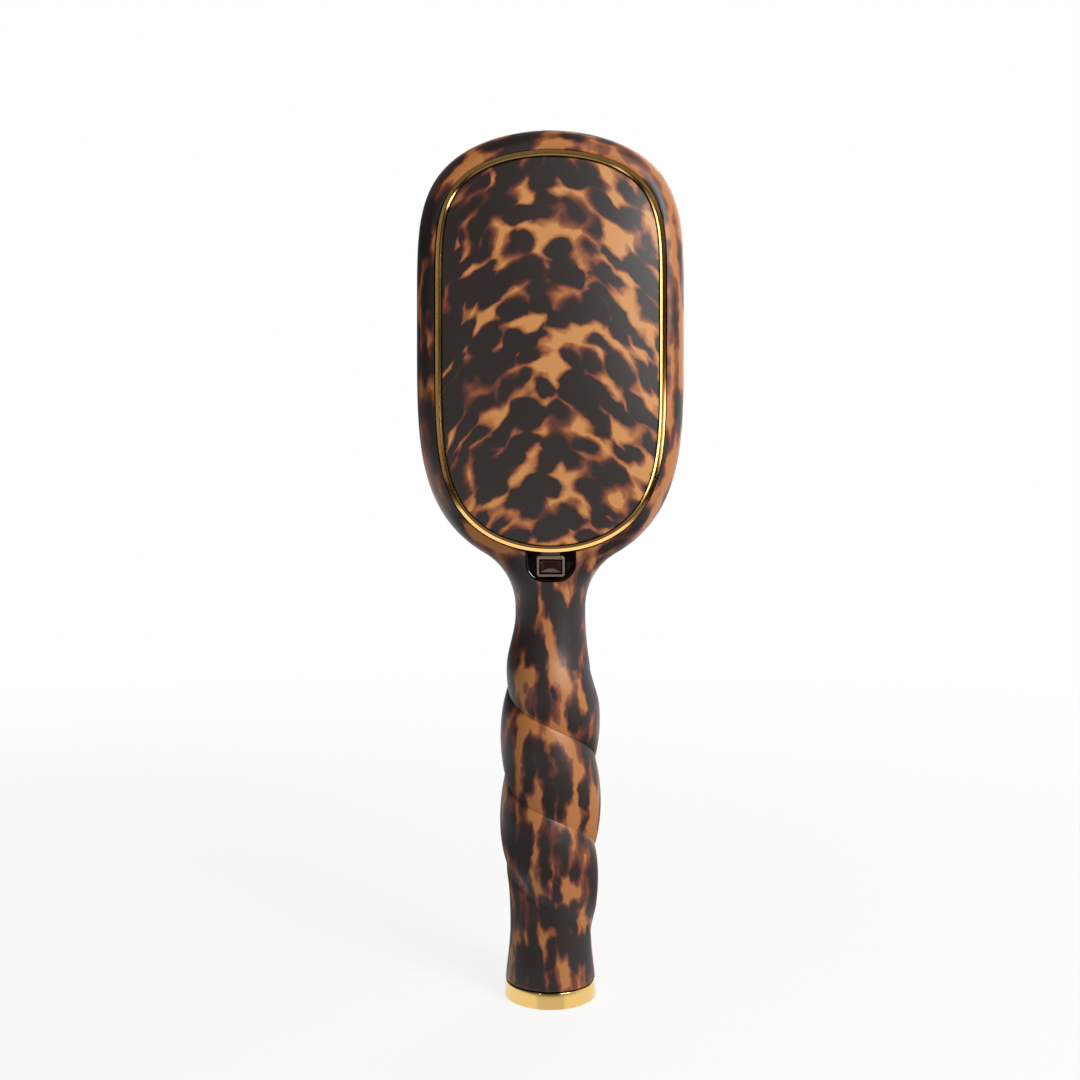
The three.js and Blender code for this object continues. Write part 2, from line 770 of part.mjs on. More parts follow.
// Height of the cushion's crown over any place: highest in the middle, falling as the
// square of the distance.
function crownY(x, z) {
  const h = z < headZ ? padOval.down : padOval.up;
  const away = (x / padOval.w) ** 2 + ((z - headZ) / h) ** 2;
  return cushionEdgeY + cushionCrown * (1 - away);
}

// A shallow tray whose wall clamps the cushion's flange.
function padTray() {
  const wall = runGap + trayWall;
  return stack(ovalLoop(padOval), [
    { inset: runGap, shrink: 1, y: trayBackY },
    { inset: runGap, y: trayBackY },
    { inset: runGap, y: trayTopY },
    { inset: wall, y: trayTopY },
    { inset: wall, y: trayBackY + trayFloor },
    { inset: wall, shrink: 1, y: trayBackY + trayFloor },
  ]);
}

// The cushion: flange, drawn-in side, swelling shoulder, and a recess for its pin skin.
function cushion() {
  const sunk = (x, z) => crownY(x, z) - skinThickness - seatGap;
  const edge = padLoopInner;
  const skinEdge = edge + skinInset - seatGap;
  return stack(ovalLoop(padOval), [
    { inset: edge, shrink: 1, y: cushionBackY },
    { inset: edge, y: cushionBackY },
    { inset: edge, y: trayTopY - 1 },
    { inset: edge + cushionDraw, y: frontY - 0.6 },
    { inset: edge + cushionDraw * 0.9, y: frontY + cushionRise * 0.2 },
    { inset: edge + cushionDraw * 0.55, y: (x, z) => crownY(x, z) - 2.2 },
    { inset: edge + cushionDraw * 0.9, y: (x, z) => crownY(x, z) - 0.9 },
    { inset: skinEdge, y: crownY },
    { inset: skinEdge, y: sunk },
    { inset: skinEdge, shrink: 0.4, y: sunk },
    { inset: skinEdge, shrink: 0.75, y: sunk },
    { inset: skinEdge, shrink: 1, y: sunk },
  ]);
}

// The pins stand in staggered rows, row by row up the cushion, inside this field. Cross
// lines of the skin lie half-way between the rows.
const pinField = {
  ...skinOval,
  w: skinOval.w - pinMargin,
  up: skinOval.up - pinMargin,
  down: skinOval.down - pinMargin,
};
const lastRow = Math.floor((pinField.up + pinField.down) / rowPitch);
const firstRowZ = headZ - pinField.down + (pinField.up + pinField.down - lastRow * rowPitch) / 2;
const rowZ = (row) => firstRowZ + row * rowPitch;
const lineShares = [-1, -0.5, 0, 0.5, 1];

function lineZ(row) {
  const clear = pinMargin / 8;
  const [foot, top] = [headZ - skinOval.down + clear, headZ + skinOval.up - clear];
  return Math.min(Math.max(rowZ(row - 0.5), foot), top);
}

// Places of a row's pins, all inside the skin between its two cross lines.
function pinsOfRow(row) {
  const skinHalf = (ovalHalf(skinOval, lineZ(row)) + ovalHalf(skinOval, lineZ(row + 1))) / 2;
  const half = Math.min(ovalHalf(pinField, rowZ(row)), skinHalf - 2 * pinBase);
  const shift = row % 2 === 0 ? 0 : 0.5;
  const places = [];
  for (let n = -Math.ceil(half / pinPitch) - shift; n * pinPitch <= half; n += 1) {
    if (n * pinPitch >= -half) {
      places.push([n * pinPitch, rowZ(row)]);
    }
  }
  return places;
}

// The direction square to the crown at a place.
function crownNormal(x, z) {
  const step = 0.05;
  const slopeX = (crownY(x + step, z) - crownY(x - step, z)) / (2 * step);
  const slopeZ = (crownY(x, z + step) - crownY(x, z - step)) / (2 * step);
  return new THREE.Vector3(-slopeX, 1, -slopeZ).normalize();
}

// The foot and the tip of a pin: a small triangle on the crown, and a smaller one above it.
function pinCorners([x, z]) {
  const out = crownNormal(x, z).multiplyScalar(pinLength);
  const foot = [];
  const tip = [];
  for (let k = 0; k < pinSides; k += 1) {
    const turn = (k / pinSides) * 2 * Math.PI;
    const [c, s] = [Math.cos(turn), Math.sin(turn)];
    const [fx, fz] = [x + pinBase * c, z + pinBase * s];
    foot.push([fx, crownY(fx, fz), fz]);
    tip.push([x + out.x + pinTip * c, crownY(x, z) + out.y, z + out.z + pinTip * s]);
  }
  return { foot, tip };
}

// Adds a pin to a mesh and gives the corners of its foot.
function addPin(points, index, place) {
  const { foot, tip } = pinCorners(place);
  const base = points.length;
  points.push(...foot, ...tip);
  for (let k = 0; k < pinSides; k += 1) {
    const next = (k + 1) % pinSides;
    const [a, b] = [base + next, base + k];
    index.push(a, b, b + pinSides, a, b + pinSides, a + pinSides);
  }
  index.push(base + 5, base + 4, base + 3);
  return [base, base + 1, base + 2];
}

// A slice of the cushion's skin from one row of pins to another, with its pins. The crown
// between two cross lines is one face with a hole at each pin's foot.
function pinSlice(slice) {
  const first = Math.round((slice * (lastRow + 1)) / sliceCount);
  const last = Math.round(((slice + 1) * (lastRow + 1)) / sliceCount);
  const wide = lineShares.length;
  const rows = last - first + 1;
  const points = [];
  const index = [];
  [0, skinThickness].forEach((depth) => {
    for (let line = first; line <= last; line += 1) {
      const z = lineZ(line) + (line === first && first > 0 ? seatGap : 0);
      const half = ovalHalf(skinOval, z);
      lineShares.forEach((share) => points.push([share * half, crownY(share * half, z) - depth, z]));
    }
  });
  const at = (row, k) => row * wide + k;
  const under = (i) => rows * wide + i;
  const quad = (a, b, c, d) => index.push(a, b, c, a, c, d);
  const flat = (i) => new THREE.Vector2(points[i][0], points[i][2]);
  for (let row = 0; row + 1 < rows; row += 1) {
    const low = lineShares.map((_, k) => at(row, k));
    const high = lineShares.map((_, k) => at(row + 1, wide - 1 - k));
    const feet = pinsOfRow(first + row).map((place) => addPin(points, index, place));
    const rim = [...low, ...high];
    const corners = [...rim, ...feet.flat()];
    const faces = THREE.ShapeUtils.triangulateShape(rim.map(flat), feet.map((foot) => foot.map(flat)));
    faces.forEach(([a, b, c]) => index.push(corners[c], corners[b], corners[a]));
    for (let k = 0; k + 1 < wide; k += 1) {
      quad(under(at(row, k)), under(at(row, k + 1)), under(at(row + 1, k + 1)), under(at(row + 1, k)));
    }
    const [right, left] = [wide - 1, 0];
    quad(at(row, right), at(row + 1, right), under(at(row + 1, right)), under(at(row, right)));
    quad(at(row + 1, left), at(row, left), under(at(row, left)), under(at(row + 1, left)));
  }
  for (let k = 0; k + 1 < wide; k += 1) {
    quad(at(0, k), at(0, k + 1), under(at(0, k + 1)), under(at(0, k)));
    quad(at(rows - 1, k + 1), at(rows - 1, k), under(at(rows - 1, k)), under(at(rows - 1, k + 1)));
  }
  return fromPoints(points, index);
}

// ---------------------------------------------------------------- end cap

// A round piece from a half profile of [radius, z] pairs that starts and ends on the axis.
function turned(profile, sides) {
  const points = profile.map(([r, z]) => new THREE.Vector2(r, z));
  return new THREE.LatheGeometry(points, sides).rotateX(Math.PI / 2);
}

// The cap: a shallow cup with a rounded lower edge, a little wider below than above.
function endCap() {
  const wall = footRadius - capWall;
  const round = (1 - Math.SQRT1_2) * capEdge;
  const profile = [
    [0, 0],
    [capRadius - capEdge, 0],
    [capRadius - round, round],
    [capRadius, capEdge],
    [footRadius, capHeight],
    [wall, capHeight],
    [wall, capWall],
    [0, capWall],
  ];
  return turned(profile, 40);
}

function capPlug() {
  const disc = footRadius - capWall - seatGap;
  const top = capHeight + plugDepth - seatGap;
  const profile = [
    [0, capWall + seatGap],
    [disc, capWall + seatGap],
    [disc, capHeight],
    [plugRadius, capHeight],
    [plugRadius, top - plugChamfer],
    [plugRadius - plugChamfer, top],
    [0, top],
  ];
  return turned(profile, 24);
}

// ---------------------------------------------------------------- assembly

function finish(color, roughness, metalness) {
  return new THREE.MeshStandardMaterial({ color, roughness, metalness });
}

const tortoise = finish(0x8a5230, 0.35, 0);
const gold = finish(0xd2a54a, 0.2, 1);
const darkPlastic = finish(0x3a2718, 0.3, 0);
const blackPlastic = finish(0x1d1a19, 0.5, 0);
const palePlastic = finish(0x6e5c50, 0.45, 0);
const steel = finish(0xb8bcc0, 0.3, 1);
const rubber = finish(0x241f1e, 0.75, 0);
const nylon = finish(0x2a2422, 0.4, 0);

const brush = new THREE.Group();

// Adds a piece, given as a solid or as a geometry whose faces may still point inwards.
function add(name, shape, material) {
  const piece = shape.isBufferGeometry ? solid(shape) : shape;
  const mesh = new THREE.Mesh(geometryOf(piece), material);
  mesh.name = name;
  brush.add(mesh);
}

add('brush_body', brushBody(), tortoise);
add('end_cap', endCap(), gold);
add('cap_plug', capPlug(), blackPlastic);
add('latch_well_insert', wellInsert(), darkPlastic);
add('catch_button', catchButton(), darkPlastic);
add('catch_spring', catchSpring(), steel);
add('lid_panel', lidPanel(), tortoise);
add('lid_trim_ring', trimRing(), gold);
add('lid_frame', lidFrame(), darkPlastic);
add('latch_loop', latchLoop(), palePlastic);
armSides.forEach((side) => {
  const length = armWidth + 2 * runGap + 2 * pinGrip - 2 * seatGap;
  add(side < 0 ? 'hinge_pin_left' : 'hinge_pin_right', crossPin(pinRadius, length, side), steel);
});
add('pad_base', padTray(), blackPlastic);
add('cushion', cushion(), rubber);
for (let slice = 0; slice < sliceCount; slice += 1) {
  add(`pins_${slice + 1}`, pinSlice(slice), nylon);
}

export default brush;
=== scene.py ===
import math

import bmesh
import bpy
import numpy as np
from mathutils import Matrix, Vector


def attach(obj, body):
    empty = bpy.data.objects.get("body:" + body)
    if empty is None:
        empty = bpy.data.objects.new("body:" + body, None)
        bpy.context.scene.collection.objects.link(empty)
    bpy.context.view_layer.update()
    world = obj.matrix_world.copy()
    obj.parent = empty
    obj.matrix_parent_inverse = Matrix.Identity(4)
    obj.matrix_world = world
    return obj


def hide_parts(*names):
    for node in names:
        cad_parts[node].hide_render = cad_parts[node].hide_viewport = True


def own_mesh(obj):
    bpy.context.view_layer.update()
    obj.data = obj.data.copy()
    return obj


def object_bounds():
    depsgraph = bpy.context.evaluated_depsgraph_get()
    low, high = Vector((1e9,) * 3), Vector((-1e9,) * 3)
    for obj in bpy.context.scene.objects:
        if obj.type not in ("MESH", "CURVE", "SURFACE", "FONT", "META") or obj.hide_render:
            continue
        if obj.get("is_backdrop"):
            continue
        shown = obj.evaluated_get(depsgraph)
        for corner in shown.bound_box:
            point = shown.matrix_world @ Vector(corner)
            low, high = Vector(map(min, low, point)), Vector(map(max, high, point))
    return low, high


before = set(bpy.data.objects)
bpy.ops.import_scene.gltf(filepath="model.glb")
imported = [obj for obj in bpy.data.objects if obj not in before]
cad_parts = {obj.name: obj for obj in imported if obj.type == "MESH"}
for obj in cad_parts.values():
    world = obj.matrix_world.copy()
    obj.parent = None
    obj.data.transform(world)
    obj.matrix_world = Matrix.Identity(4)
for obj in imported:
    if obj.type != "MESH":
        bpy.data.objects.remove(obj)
CAD_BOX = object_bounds()

bl_info = {
    "name": "Tortoiseshell Vanity Hairbrush",
    "version": (1, 0, 0),
    "blender": (4, 5, 0),
    "location": "View3D > Sidebar > Hairbrush",
    "description": "Builds a paddle hairbrush with a rope-twist handle round its packed frame",
    "category": "Object",
}

# ------------------------------------------------------------------ measures, in millimetres
# They repeat the frame's own. Z runs up the handle, the lid faces -Y and the pins face +Y.

TOTAL = 240.0
SEAT_GAP = 0.3
RUN_GAP = 0.35
NECK = 9.74  # radius of the neck, and half the head's thickness
BACK = -NECK
FRONT = NECK
HEAD_EDGE = 6.5  # how far in the head's rounded edge reaches
NECK_FILLET = 17.4
NECK_STRAIGHT = 1.6
EDGE_BLEND = 24.0
HEAD = {"w": 37.2, "up": 53.6, "down": 68.5, "end": 1.9, "side_up": 4.7, "side_down": 4.1}
LID = {"w": 31.2, "up": 45.6, "down": 63.3, "end": 2.0, "side_up": 5.0, "side_down": 5.0}
PAD = {"w": 31.8, "up": 47.1, "down": 61.5, "end": 2.1, "side_up": 4.6, "side_down": 4.4}
HEAD_Z = TOTAL - HEAD["up"]
LID_FOOT = HEAD_Z - LID["down"]

CAP_HEIGHT = 4.4
CAP_RADIUS = 12.9
CAP_WALL = 1.1
CAP_FLAT = 9.0  # radius of the flat middle of its underside
CAP_ROUND, CAP_LIP = 0.6, 0.25  # rounding of its lower and its upper edge
HANDLE_FOOT = CAP_HEIGHT + SEAT_GAP
FOOT_ROUND, FOOT_BEND = 0.35, 0.1  # rounding of the handle's lower edge, and its middle point
CORE = [(HANDLE_FOOT, 12.45), (19.5, 11.15), (47.0, 12.35), (80.0, 12.0)]  # (height, radius)
ROPE_LEAN = 0.28
ROPE_FOOT, ROPE_FOOT_SLANT, ROPE_FOOT_FADE = 27.0, 8.0, 12.0
ROPE_TOP_SLANT, ROPE_TOP_FADE = 5.0, 16.0
ROPE_FULLNESS = 0.75  # under 1, the strands are full and their creases narrow
PLUG_RADIUS = 6.9
PLUG_DEPTH = 17.0

RING_SINK = 0.15
RING_Y = BACK + RING_SINK
RING_PROFILE = [(0, 0), (0, 0.86), (0.62, 1), (1, 0.82), (1, 0)]  # shares of its width and height
RING_RIDGE = 0.11  # how far from its ridge the soft curve begins
PANEL_SINK = 0.55  # how far down the ring the panel's edge lies, as a share
PANEL_ROUND = 0.3  # rounding of the panel's edge
DOME_FALL, DOME_CROWDING = 2.2, 1.3  # power of its fall; over 1, its rows lie closer to its edge
FRAME_BACK = RING_Y + SEAT_GAP
FRAME_FRONT = FRAME_BACK + 1.8
FRAME_ROUND = 0.25  # rounding of the carrier's edges
LEDGE = FRAME_FRONT + SEAT_GAP
FRAME_INSET = 1.3
LEDGE_WIDTH = 2.1
HOLLOW_FLOOR = BACK + 9.34
HOLLOW_ROUND = 0.8
PAD_FLOOR = HOLLOW_FLOOR + 2.0

BARREL = 1.5  # radius of a gooseneck's barrel
PIN_BORE = 0.85  # radius of its bore
PIN_BITE = 2.0  # how far a hinge pin's bore runs on beyond the pocket
ARM_WIDTH = 4.8
ARM_MIDDLES = (-6.0, 6.0)
PIVOT = (-6.89, 234.337)  # Y and Z of the hinge
HOOK = (4.154, 5.654)  # inner and outer radius of the gooseneck's hook
HOOK_TURNS = (92.0, 188.0)  # angles about the pivot between which the hook runs
SPOKE_TURN, SPOKE_HALF = 115.0, 0.85  # the strip from barrel to hook: its angle and half width
LEAF, LEAF_BITE = 4.0, 0.1  # how far a gooseneck's flat foot runs below its hook, and into it
POCKET_TURNS = (117.0, -39.0)  # of its round mouth, about the pivot
OVERCUT = 4.0  # how far a cutter stands out of the skin that it opens
OFF_PLANE = 0.02  # keeps the faces of two pieces out of one plane

WELL_WIDTH, WELL_HEIGHT, WELL_CORNER = 13.8, 8.2, 5.2
WELL_TOP = LID_FOOT + 1.2
WELL_FLOOR = BACK + 5.2
LINER_TOP = BACK + 1.6
LINER_WALL, LINER_FLOOR = 0.7, 0.8
LINER_LIP, LINER_DRAFT, LINER_FILLET = 0.1, 1.1, 0.5
LOOP = (3.8, 2.85)  # half width and half height
LOOP_BAR, LOOP_TOP_BAR = 0.65, 0.95
LOOP_TOP = LID_FOOT - 1.0
LOOP_SINK, LOOP_ROUND, LOOP_CORNER, WINDOW_CORNER = 0.2, 0.16, 0.75, 0.2
WINDOW = (LOOP[0] - LOOP_BAR, LOOP[1] - (LOOP_BAR + LOOP_TOP_BAR) / 2)  # half sizes
CATCH_Z = LOOP_TOP - LOOP_TOP_BAR - WINDOW[1]
TAB = (2.5, 0.8, 3.5)  # half width, thickness, and how far it reaches into the carrier
NUB = (WINDOW[0] - RUN_GAP, WINDOW[1] - RUN_GAP)
FLANGE = (NUB[0] + 1.1, NUB[1] + 1.1)
NUB_TOP = FRAME_BACK + 0.35
NUB_ROUND, CATCH_CORNER = 0.25, 0.3
BOSS_HEIGHT, BOSS_GAP = 1.2, 0.2
FLANGE_BACK = WELL_FLOOR + SEAT_GAP
FLANGE_FRONT = FLANGE_BACK + 1.2
CATCH_TRAVEL = 1.4
RECESS_FLOOR = FLANGE_FRONT + CATCH_TRAVEL + SEAT_GAP
SPRING_RADIUS, SPRING_WIRE, SPRING_TURNS, SPRING_LENGTH = 2.0, 0.5, 4, 6.0
SPRING_BACK = FLANGE_FRONT + SEAT_GAP
SPRING_FRONT = SPRING_BACK + SPRING_LENGTH

TRAY_WALL = 1.4
TRAY_LIP = 0.4
TRAY_BACK = PAD_FLOOR + SEAT_GAP
TRAY_TOP = TRAY_BACK + 5.6
TRAY_FLOOR = TRAY_BACK + 1.5
PAD_GAP = RUN_GAP + TRAY_WALL + SEAT_GAP
CUSHION_BACK = TRAY_FLOOR + SEAT_GAP
CUSHION_RISE, CUSHION_DRAW, CUSHION_CROWN = 3.4, 1.6, 4.2
CUSHION_SHOULDER = 2.2
CUSHION_EDGE = FRONT + CUSHION_RISE
SKIN_INSET = 3.2
PIN_MARGIN, PIN_PITCH, ROW_PITCH, PIN_LENGTH, PIN_BASE = 2.2, 4.0, 3.4, 13.5, 0.75
COLLAR_RADIUS, COLLAR_HEIGHT, PIN_SINK = 1.2, 0.75, 0.8  # of the rubber's collar round a pin
BALL_TURNS = np.radians([-52, -20, 20, 58, 90])
SLICES = 4

# How finely the shown surfaces are drawn.
HALF_TURN = 64  # columns round half the handle, and round the head's edge
FLAT_COLUMNS = 24
HANDLE_ROWS = 170
ARC_ROWS, OVAL_ROWS = 20, 90  # of the head, along its fillet at the neck and along its oval
DOME_ROWS, SHOULDER_ROWS, CROWN_ROWS = 36, 8, 29  # of the lid's panel, and of the cushion
QUARTER = 48  # of each quarter of an oval outline
RING_POINTS = 640
PIN_SIDES = 7
CAP_SIDES, BORE_SIDES = 128, 48
POLE = 1e-7  # radius of a closed end, whose points sew() makes one


# ------------------------------------------------------------------ settings


def hex_rgb(code):
    """A colour as Blender wants it: each sRGB value c turns linear by ((c + 0.055) / 1.055) ** 2.4."""
    values = [int(code[i : i + 2], 16) / 255 for i in (0, 2, 4)]
    return tuple(v / 12.92 if v <= 0.04045 else ((v + 0.055) / 1.055) ** 2.4 for v in values)


def length(name, description, default):
    """A length that a user can change, stored in metres."""
    return bpy.props.FloatProperty(
        name=name, description=description, default=default / 1000, unit="LENGTH", precision=5
    )


def colour(name, description, code):
    """A colour that a user can change."""
    return bpy.props.FloatVectorProperty(
        name=name, description=description, default=hex_rgb(code), subtype="COLOR", min=0, max=1
    )


def power(name, description, default):
    """A lamp's power that a user can change, in watts."""
    return bpy.props.FloatProperty(name=name, description=description, default=default, unit="POWER")


def fraction(name, description, default):
    """A share from 0 to 1 that a user can change."""
    return bpy.props.FloatProperty(name=name, description=description, default=default, min=0, max=1)


class HairbrushSizes(bpy.types.PropertyGroup):
    rope_height: length("Rope height", "How far the handle's strands stand out", 1.7)
    rope_spacing: length("Rope spacing", "From one crease of the rope to the next", 24.4)
    rim_radius: length("Rim radius", "Rounding where the lid's seat meets the rim", 0.35)
    dome_height: length("Dome height", "How far the lid's middle stands over its edge", 3.3)
    ring_width: length("Ring width", "Width of the gold ring", 1.5)
    ring_height: length("Ring height", "Height of the gold ring over the rim", 1.0)
    pin_radius: length("Pin radius", "Radius of a nylon pin's shaft", 0.5)
    ball_radius: length("Ball radius", "Radius of the ball at a pin's tip", 0.92)


class HairbrushColours(bpy.types.PropertyGroup):
    straw: colour("Straw", "The middle of the resin's light patches", "C2864B")
    amber: colour("Amber", "The resin's light patches", "AC6D38")
    honey: colour("Honey", "Deeper tone within the light patches", "8A4E2B")
    ember: colour("Ember", "Where a light patch turns dark", "602C20")
    umber: colour("Umber", "The resin's dark patches", "201310")
    gold: colour("Gold", "Gold plate of the ring", "E2AE65")
    pale_gold: colour("Pale gold", "Gold plate of the end cap", "E4BE70")
    smoke: colour("Smoke", "Tinted plastic of the well and the catch", "2A130A")
    rubber: colour("Rubber", "The cushion's rubber", "241A17")
    nylon: colour("Nylon", "The pins", "2B1B14")


class HairbrushStage(bpy.types.PropertyGroup):
    floor: colour("Floor", "Colour of the floor", "F7F7F5")
    key_power: power("Key light", "Power of the large lamp at the right", 8.0)
    fill_power: power("Fill light", "Power of the tall lamp at the left", 0.55)
    corner_power: power("Corner light", "Power of the small lamp far to the right", 0.16)
    rear_power: power("Rear light", "Power of the lamp behind the brush", 2.4)
    ambient: fraction("Ambient", "Strength of the light from all round", 0.16)
    front: fraction("Front", "Brightness of the room before the brush in reflections", 0.02)


# ------------------------------------------------------------------ meshes from arrays


def add_object(name, data):
    """An object of that name, linked into the scene."""
    made = bpy.data.objects.new(name, data)
    bpy.context.scene.collection.objects.link(made)
    return made


def dress(data, kind):
    """Gives a mesh the finish of that kind, and no other."""
    data.materials.clear()
    data.materials.append(finish(kind))


def show(name, data, node, body, kind, sharp):
    """Puts a piece in its node's place: smooth, with edges sharper than the given angle kept crisp."""
    data.name = name
    data.shade_smooth()
    data.set_sharp_from_angle(angle=math.radians(sharp))
    piece = add_object(name, data)
    dress(data, kind)
    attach(piece, body)
    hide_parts(node)
    return piece


def sew(*grids, merge=1e-3):
    """One closed mesh from point grids given in millimetres.

    A grid of rows x columns gives the quad (r, c), (r, c + 1), (r + 1, c + 1), (r + 1, c) at each
    place. Points closer than the merge distance become one, which closes seams and poles.
    """
    points = []
    quads = []
    start = 0
    for grid in grids:
        rows, columns = grid.shape[:2]
        index = start + np.arange(rows * columns).reshape(rows, columns)
        corners = [index[:-1, :-1], index[:-1, 1:], index[1:, 1:], index[1:, :-1]]
        quads.append(np.stack(corners, -1).reshape(-1, 4))
        points.append(grid.reshape(-1, 3))
        start += rows * columns
    data = bpy.data.meshes.new("sewn")
    data.from_pydata(np.concatenate(points) / 1000, [], np.concatenate(quads).tolist())
    work = bmesh.new()
    work.from_mesh(data)
    bmesh.ops.remove_doubles(work, verts=work.verts, dist=merge / 1000)
    bmesh.ops.dissolve_degenerate(work, edges=work.edges, dist=merge / 2000)
    bmesh.ops.recalc_face_normals(work, faces=work.faces)
    work.to_mesh(data)
    work.free()
    return data


def cut(data, cutters, operation="DIFFERENCE"):
    """The mesh after taking each cutter away from it in turn, or adding it."""
    body = add_object("work", data)
    helpers = [add_object("cutter", cutter) for cutter in cutters]
    for helper in helpers:
        step = body.modifiers.new("cut", "BOOLEAN")
        step.operation = operation
        step.solver = "MANIFOLD"
        step.object = helper
    view = bpy.context.evaluated_depsgraph_get()
    made = bpy.data.meshes.new_from_object(body.evaluated_get(view), depsgraph=view)
    for helper in [*helpers, body]:
        bpy.data.objects.remove(helper)
    return made


# ------------------------------------------------------------------ outlines in the X-Z plane


def smooth(t):
    """The smooth step 3 t^2 - 2 t^3 between 0 and 1."""
    s = np.clip(t, 0, 1)
    return s * s * (3 - 2 * s)


def oval_point(oval, turn):
    """|x/w|^end + |z/h|^side = 1 about the head's widest place, with its own h and side above and below."""
    c, s = np.cos(turn), np.sin(turn)
    h = np.where(s < 0, oval["down"], oval["up"])
    side = np.where(s < 0, oval["side_down"], oval["side_up"])
    x = np.sign(c) * oval["w"] * np.abs(c) ** (2 / oval["end"])
    z = HEAD_Z + np.sign(s) * h * np.abs(s) ** (2 / side)
    return np.stack([x, z], -1)


def oval_half(oval, z):
    """Half the oval's width at a height: w (1 - |z/h|^side)^(1/end)."""
    h = np.where(z < HEAD_Z, oval["down"], oval["up"])
    side = np.where(z < HEAD_Z, oval["side_down"], oval["side_up"])
    share = np.clip(1 - np.abs((z - HEAD_Z) / h) ** side, 0, 1)
    return oval["w"] * share ** (1 / oval["end"])


def oval_loop(oval):
    """The oval as a closed counter-clockwise loop, its first point repeated at the end."""
    return oval_point(oval, np.linspace(0, 2 * np.pi, 4 * QUARTER + 1))


def even_loop(oval, count):
    """The oval's closed loop with its points the same length apart, for a smooth mirror finish."""
    fine = oval_point(oval, np.linspace(0, 2 * np.pi, 40 * count + 1))
    run = np.concatenate([[0], np.cumsum(np.linalg.norm(np.diff(fine, axis=0), axis=1))])
    at = np.linspace(0, run[-1], count + 1)
    return np.stack([np.interp(at, run, fine[:, k]) for k in (0, 1)], -1)


def inset(loop, distance):
    """The closed loop moved inwards along its normals."""
    inner = loop[:-1]
    along = np.roll(inner, -1, 0) - np.roll(inner, 1, 0)
    along = along / np.linalg.norm(along, axis=1, keepdims=True)
    moved = inner + distance * np.stack([-along[:, 1], along[:, 0]], -1)
    return np.concatenate([moved, moved[:1]])


def stack(loop, levels, centre=(0.0, HEAD_Z)):
    """A skin through loops at several levels, each (inset, y, shrink).

    A level's loop is the given one drawn in by inset and shrunk towards the centre by a share.
    y is a number, or a function of x and z.
    """
    rows = []
    for drawn, y, shrink in levels:
        ring = inset(loop, drawn) if drawn else loop
        ring = centre + (ring - centre) * (1 - shrink)
        height = y(ring[:, 0], ring[:, 1]) if callable(y) else np.full(len(ring), y)
        rows.append(np.stack([ring[:, 0], height, ring[:, 1]], -1))
    return np.stack(rows)


def closed_stack(loop, levels, centre=(0.0, HEAD_Z)):
    """The skin of stack() closed by a point at its first and last level."""
    first, last = levels[0], levels[-1]
    ends = [(first[0], first[1], 1.0), *levels, (last[0], last[1], 1.0)]
    return stack(loop, ends, centre)


def arc(centre, radius, first, last, steps):
    """Points on a circle from one angle to another, in degrees."""
    turn = np.radians(np.linspace(first, last, steps + 1))
    return centre + radius * np.stack([np.cos(turn), np.sin(turn)], -1)


def rounded_box(half_x, half_z, corner, centre_z):
    """A rectangle with round corners as a closed counter-clockwise loop."""
    quarters = [(1, 1, 0), (-1, 1, 90), (-1, -1, 180), (1, -1, 270)]
    arcs = [
        arc((sx * (half_x - corner), sz * (half_z - corner) + centre_z), corner, start, start + 90, 6)
        for sx, sz, start in quarters
    ]
    return np.concatenate([*arcs, arcs[0][:1]])


def box_stack(sections, centre_z):
    """A closed skin through round-cornered rectangles, each (half x, half z, corner, y)."""
    rows = []
    first, last = ((10 * POLE, 10 * POLE, POLE, sections[k][3]) for k in (0, -1))
    for half_x, half_z, corner, y in [first, *sections, last]:
        ring = rounded_box(half_x, half_z, corner, centre_z)
        rows.append(np.stack([ring[:, 0], np.full(len(ring), y), ring[:, 1]], -1))
    return np.stack(rows)


def quarter_round(radius, steps=5):
    """Pairs (out, down) of a quarter circle from the wall, radius below the rim, out to the rim."""
    turn = np.linspace(0, np.pi / 2, steps + 1)
    return [(radius - radius * c, radius - radius * s) for c, s in zip(np.cos(turn), np.sin(turn))]


def lathe(profile, sides, place=(0.0, 0.0)):
    """A profile of (radius, height) pairs turned about the Z axis."""
    turn = np.linspace(0, 2 * np.pi, sides + 1)
    r, z = np.array(profile, float).T
    x = r[:, None] * np.cos(turn) + place[0]
    y = r[:, None] * np.sin(turn) + place[1]
    return np.stack([x, y, np.broadcast_to(z[:, None], x.shape)], -1)


def bar(outline, x0, x1):
    """A Y-Z outline carried along X from x0 to x1, its ends closed by a fan to its middle."""
    loop = np.concatenate([outline, outline[:1]])
    middle = np.broadcast_to(outline.mean(0), loop.shape)
    rows = [(middle, x0), (loop, x0), (loop, x1), (middle, x1)]
    return np.stack([np.column_stack([np.full(len(p), x), p]) for p, x in rows])


def rod_x(radius, x0, x1, y, z, sides=32):
    """A round bar along X."""
    turn = np.linspace(0, 2 * np.pi, sides, endpoint=False)
    return bar(np.stack([y + radius * np.cos(turn), z + radius * np.sin(turn)], -1), x0, x1)


# ------------------------------------------------------------------ moulded body


def oval_normal(oval, turn):
    """The outward normal, from the difference of two near points."""
    step = 1e-4
    along = oval_point(oval, turn + step) - oval_point(oval, turn - step)
    along = along / np.linalg.norm(along, axis=-1, keepdims=True)
    return np.stack([along[..., 1], -along[..., 0]], -1)


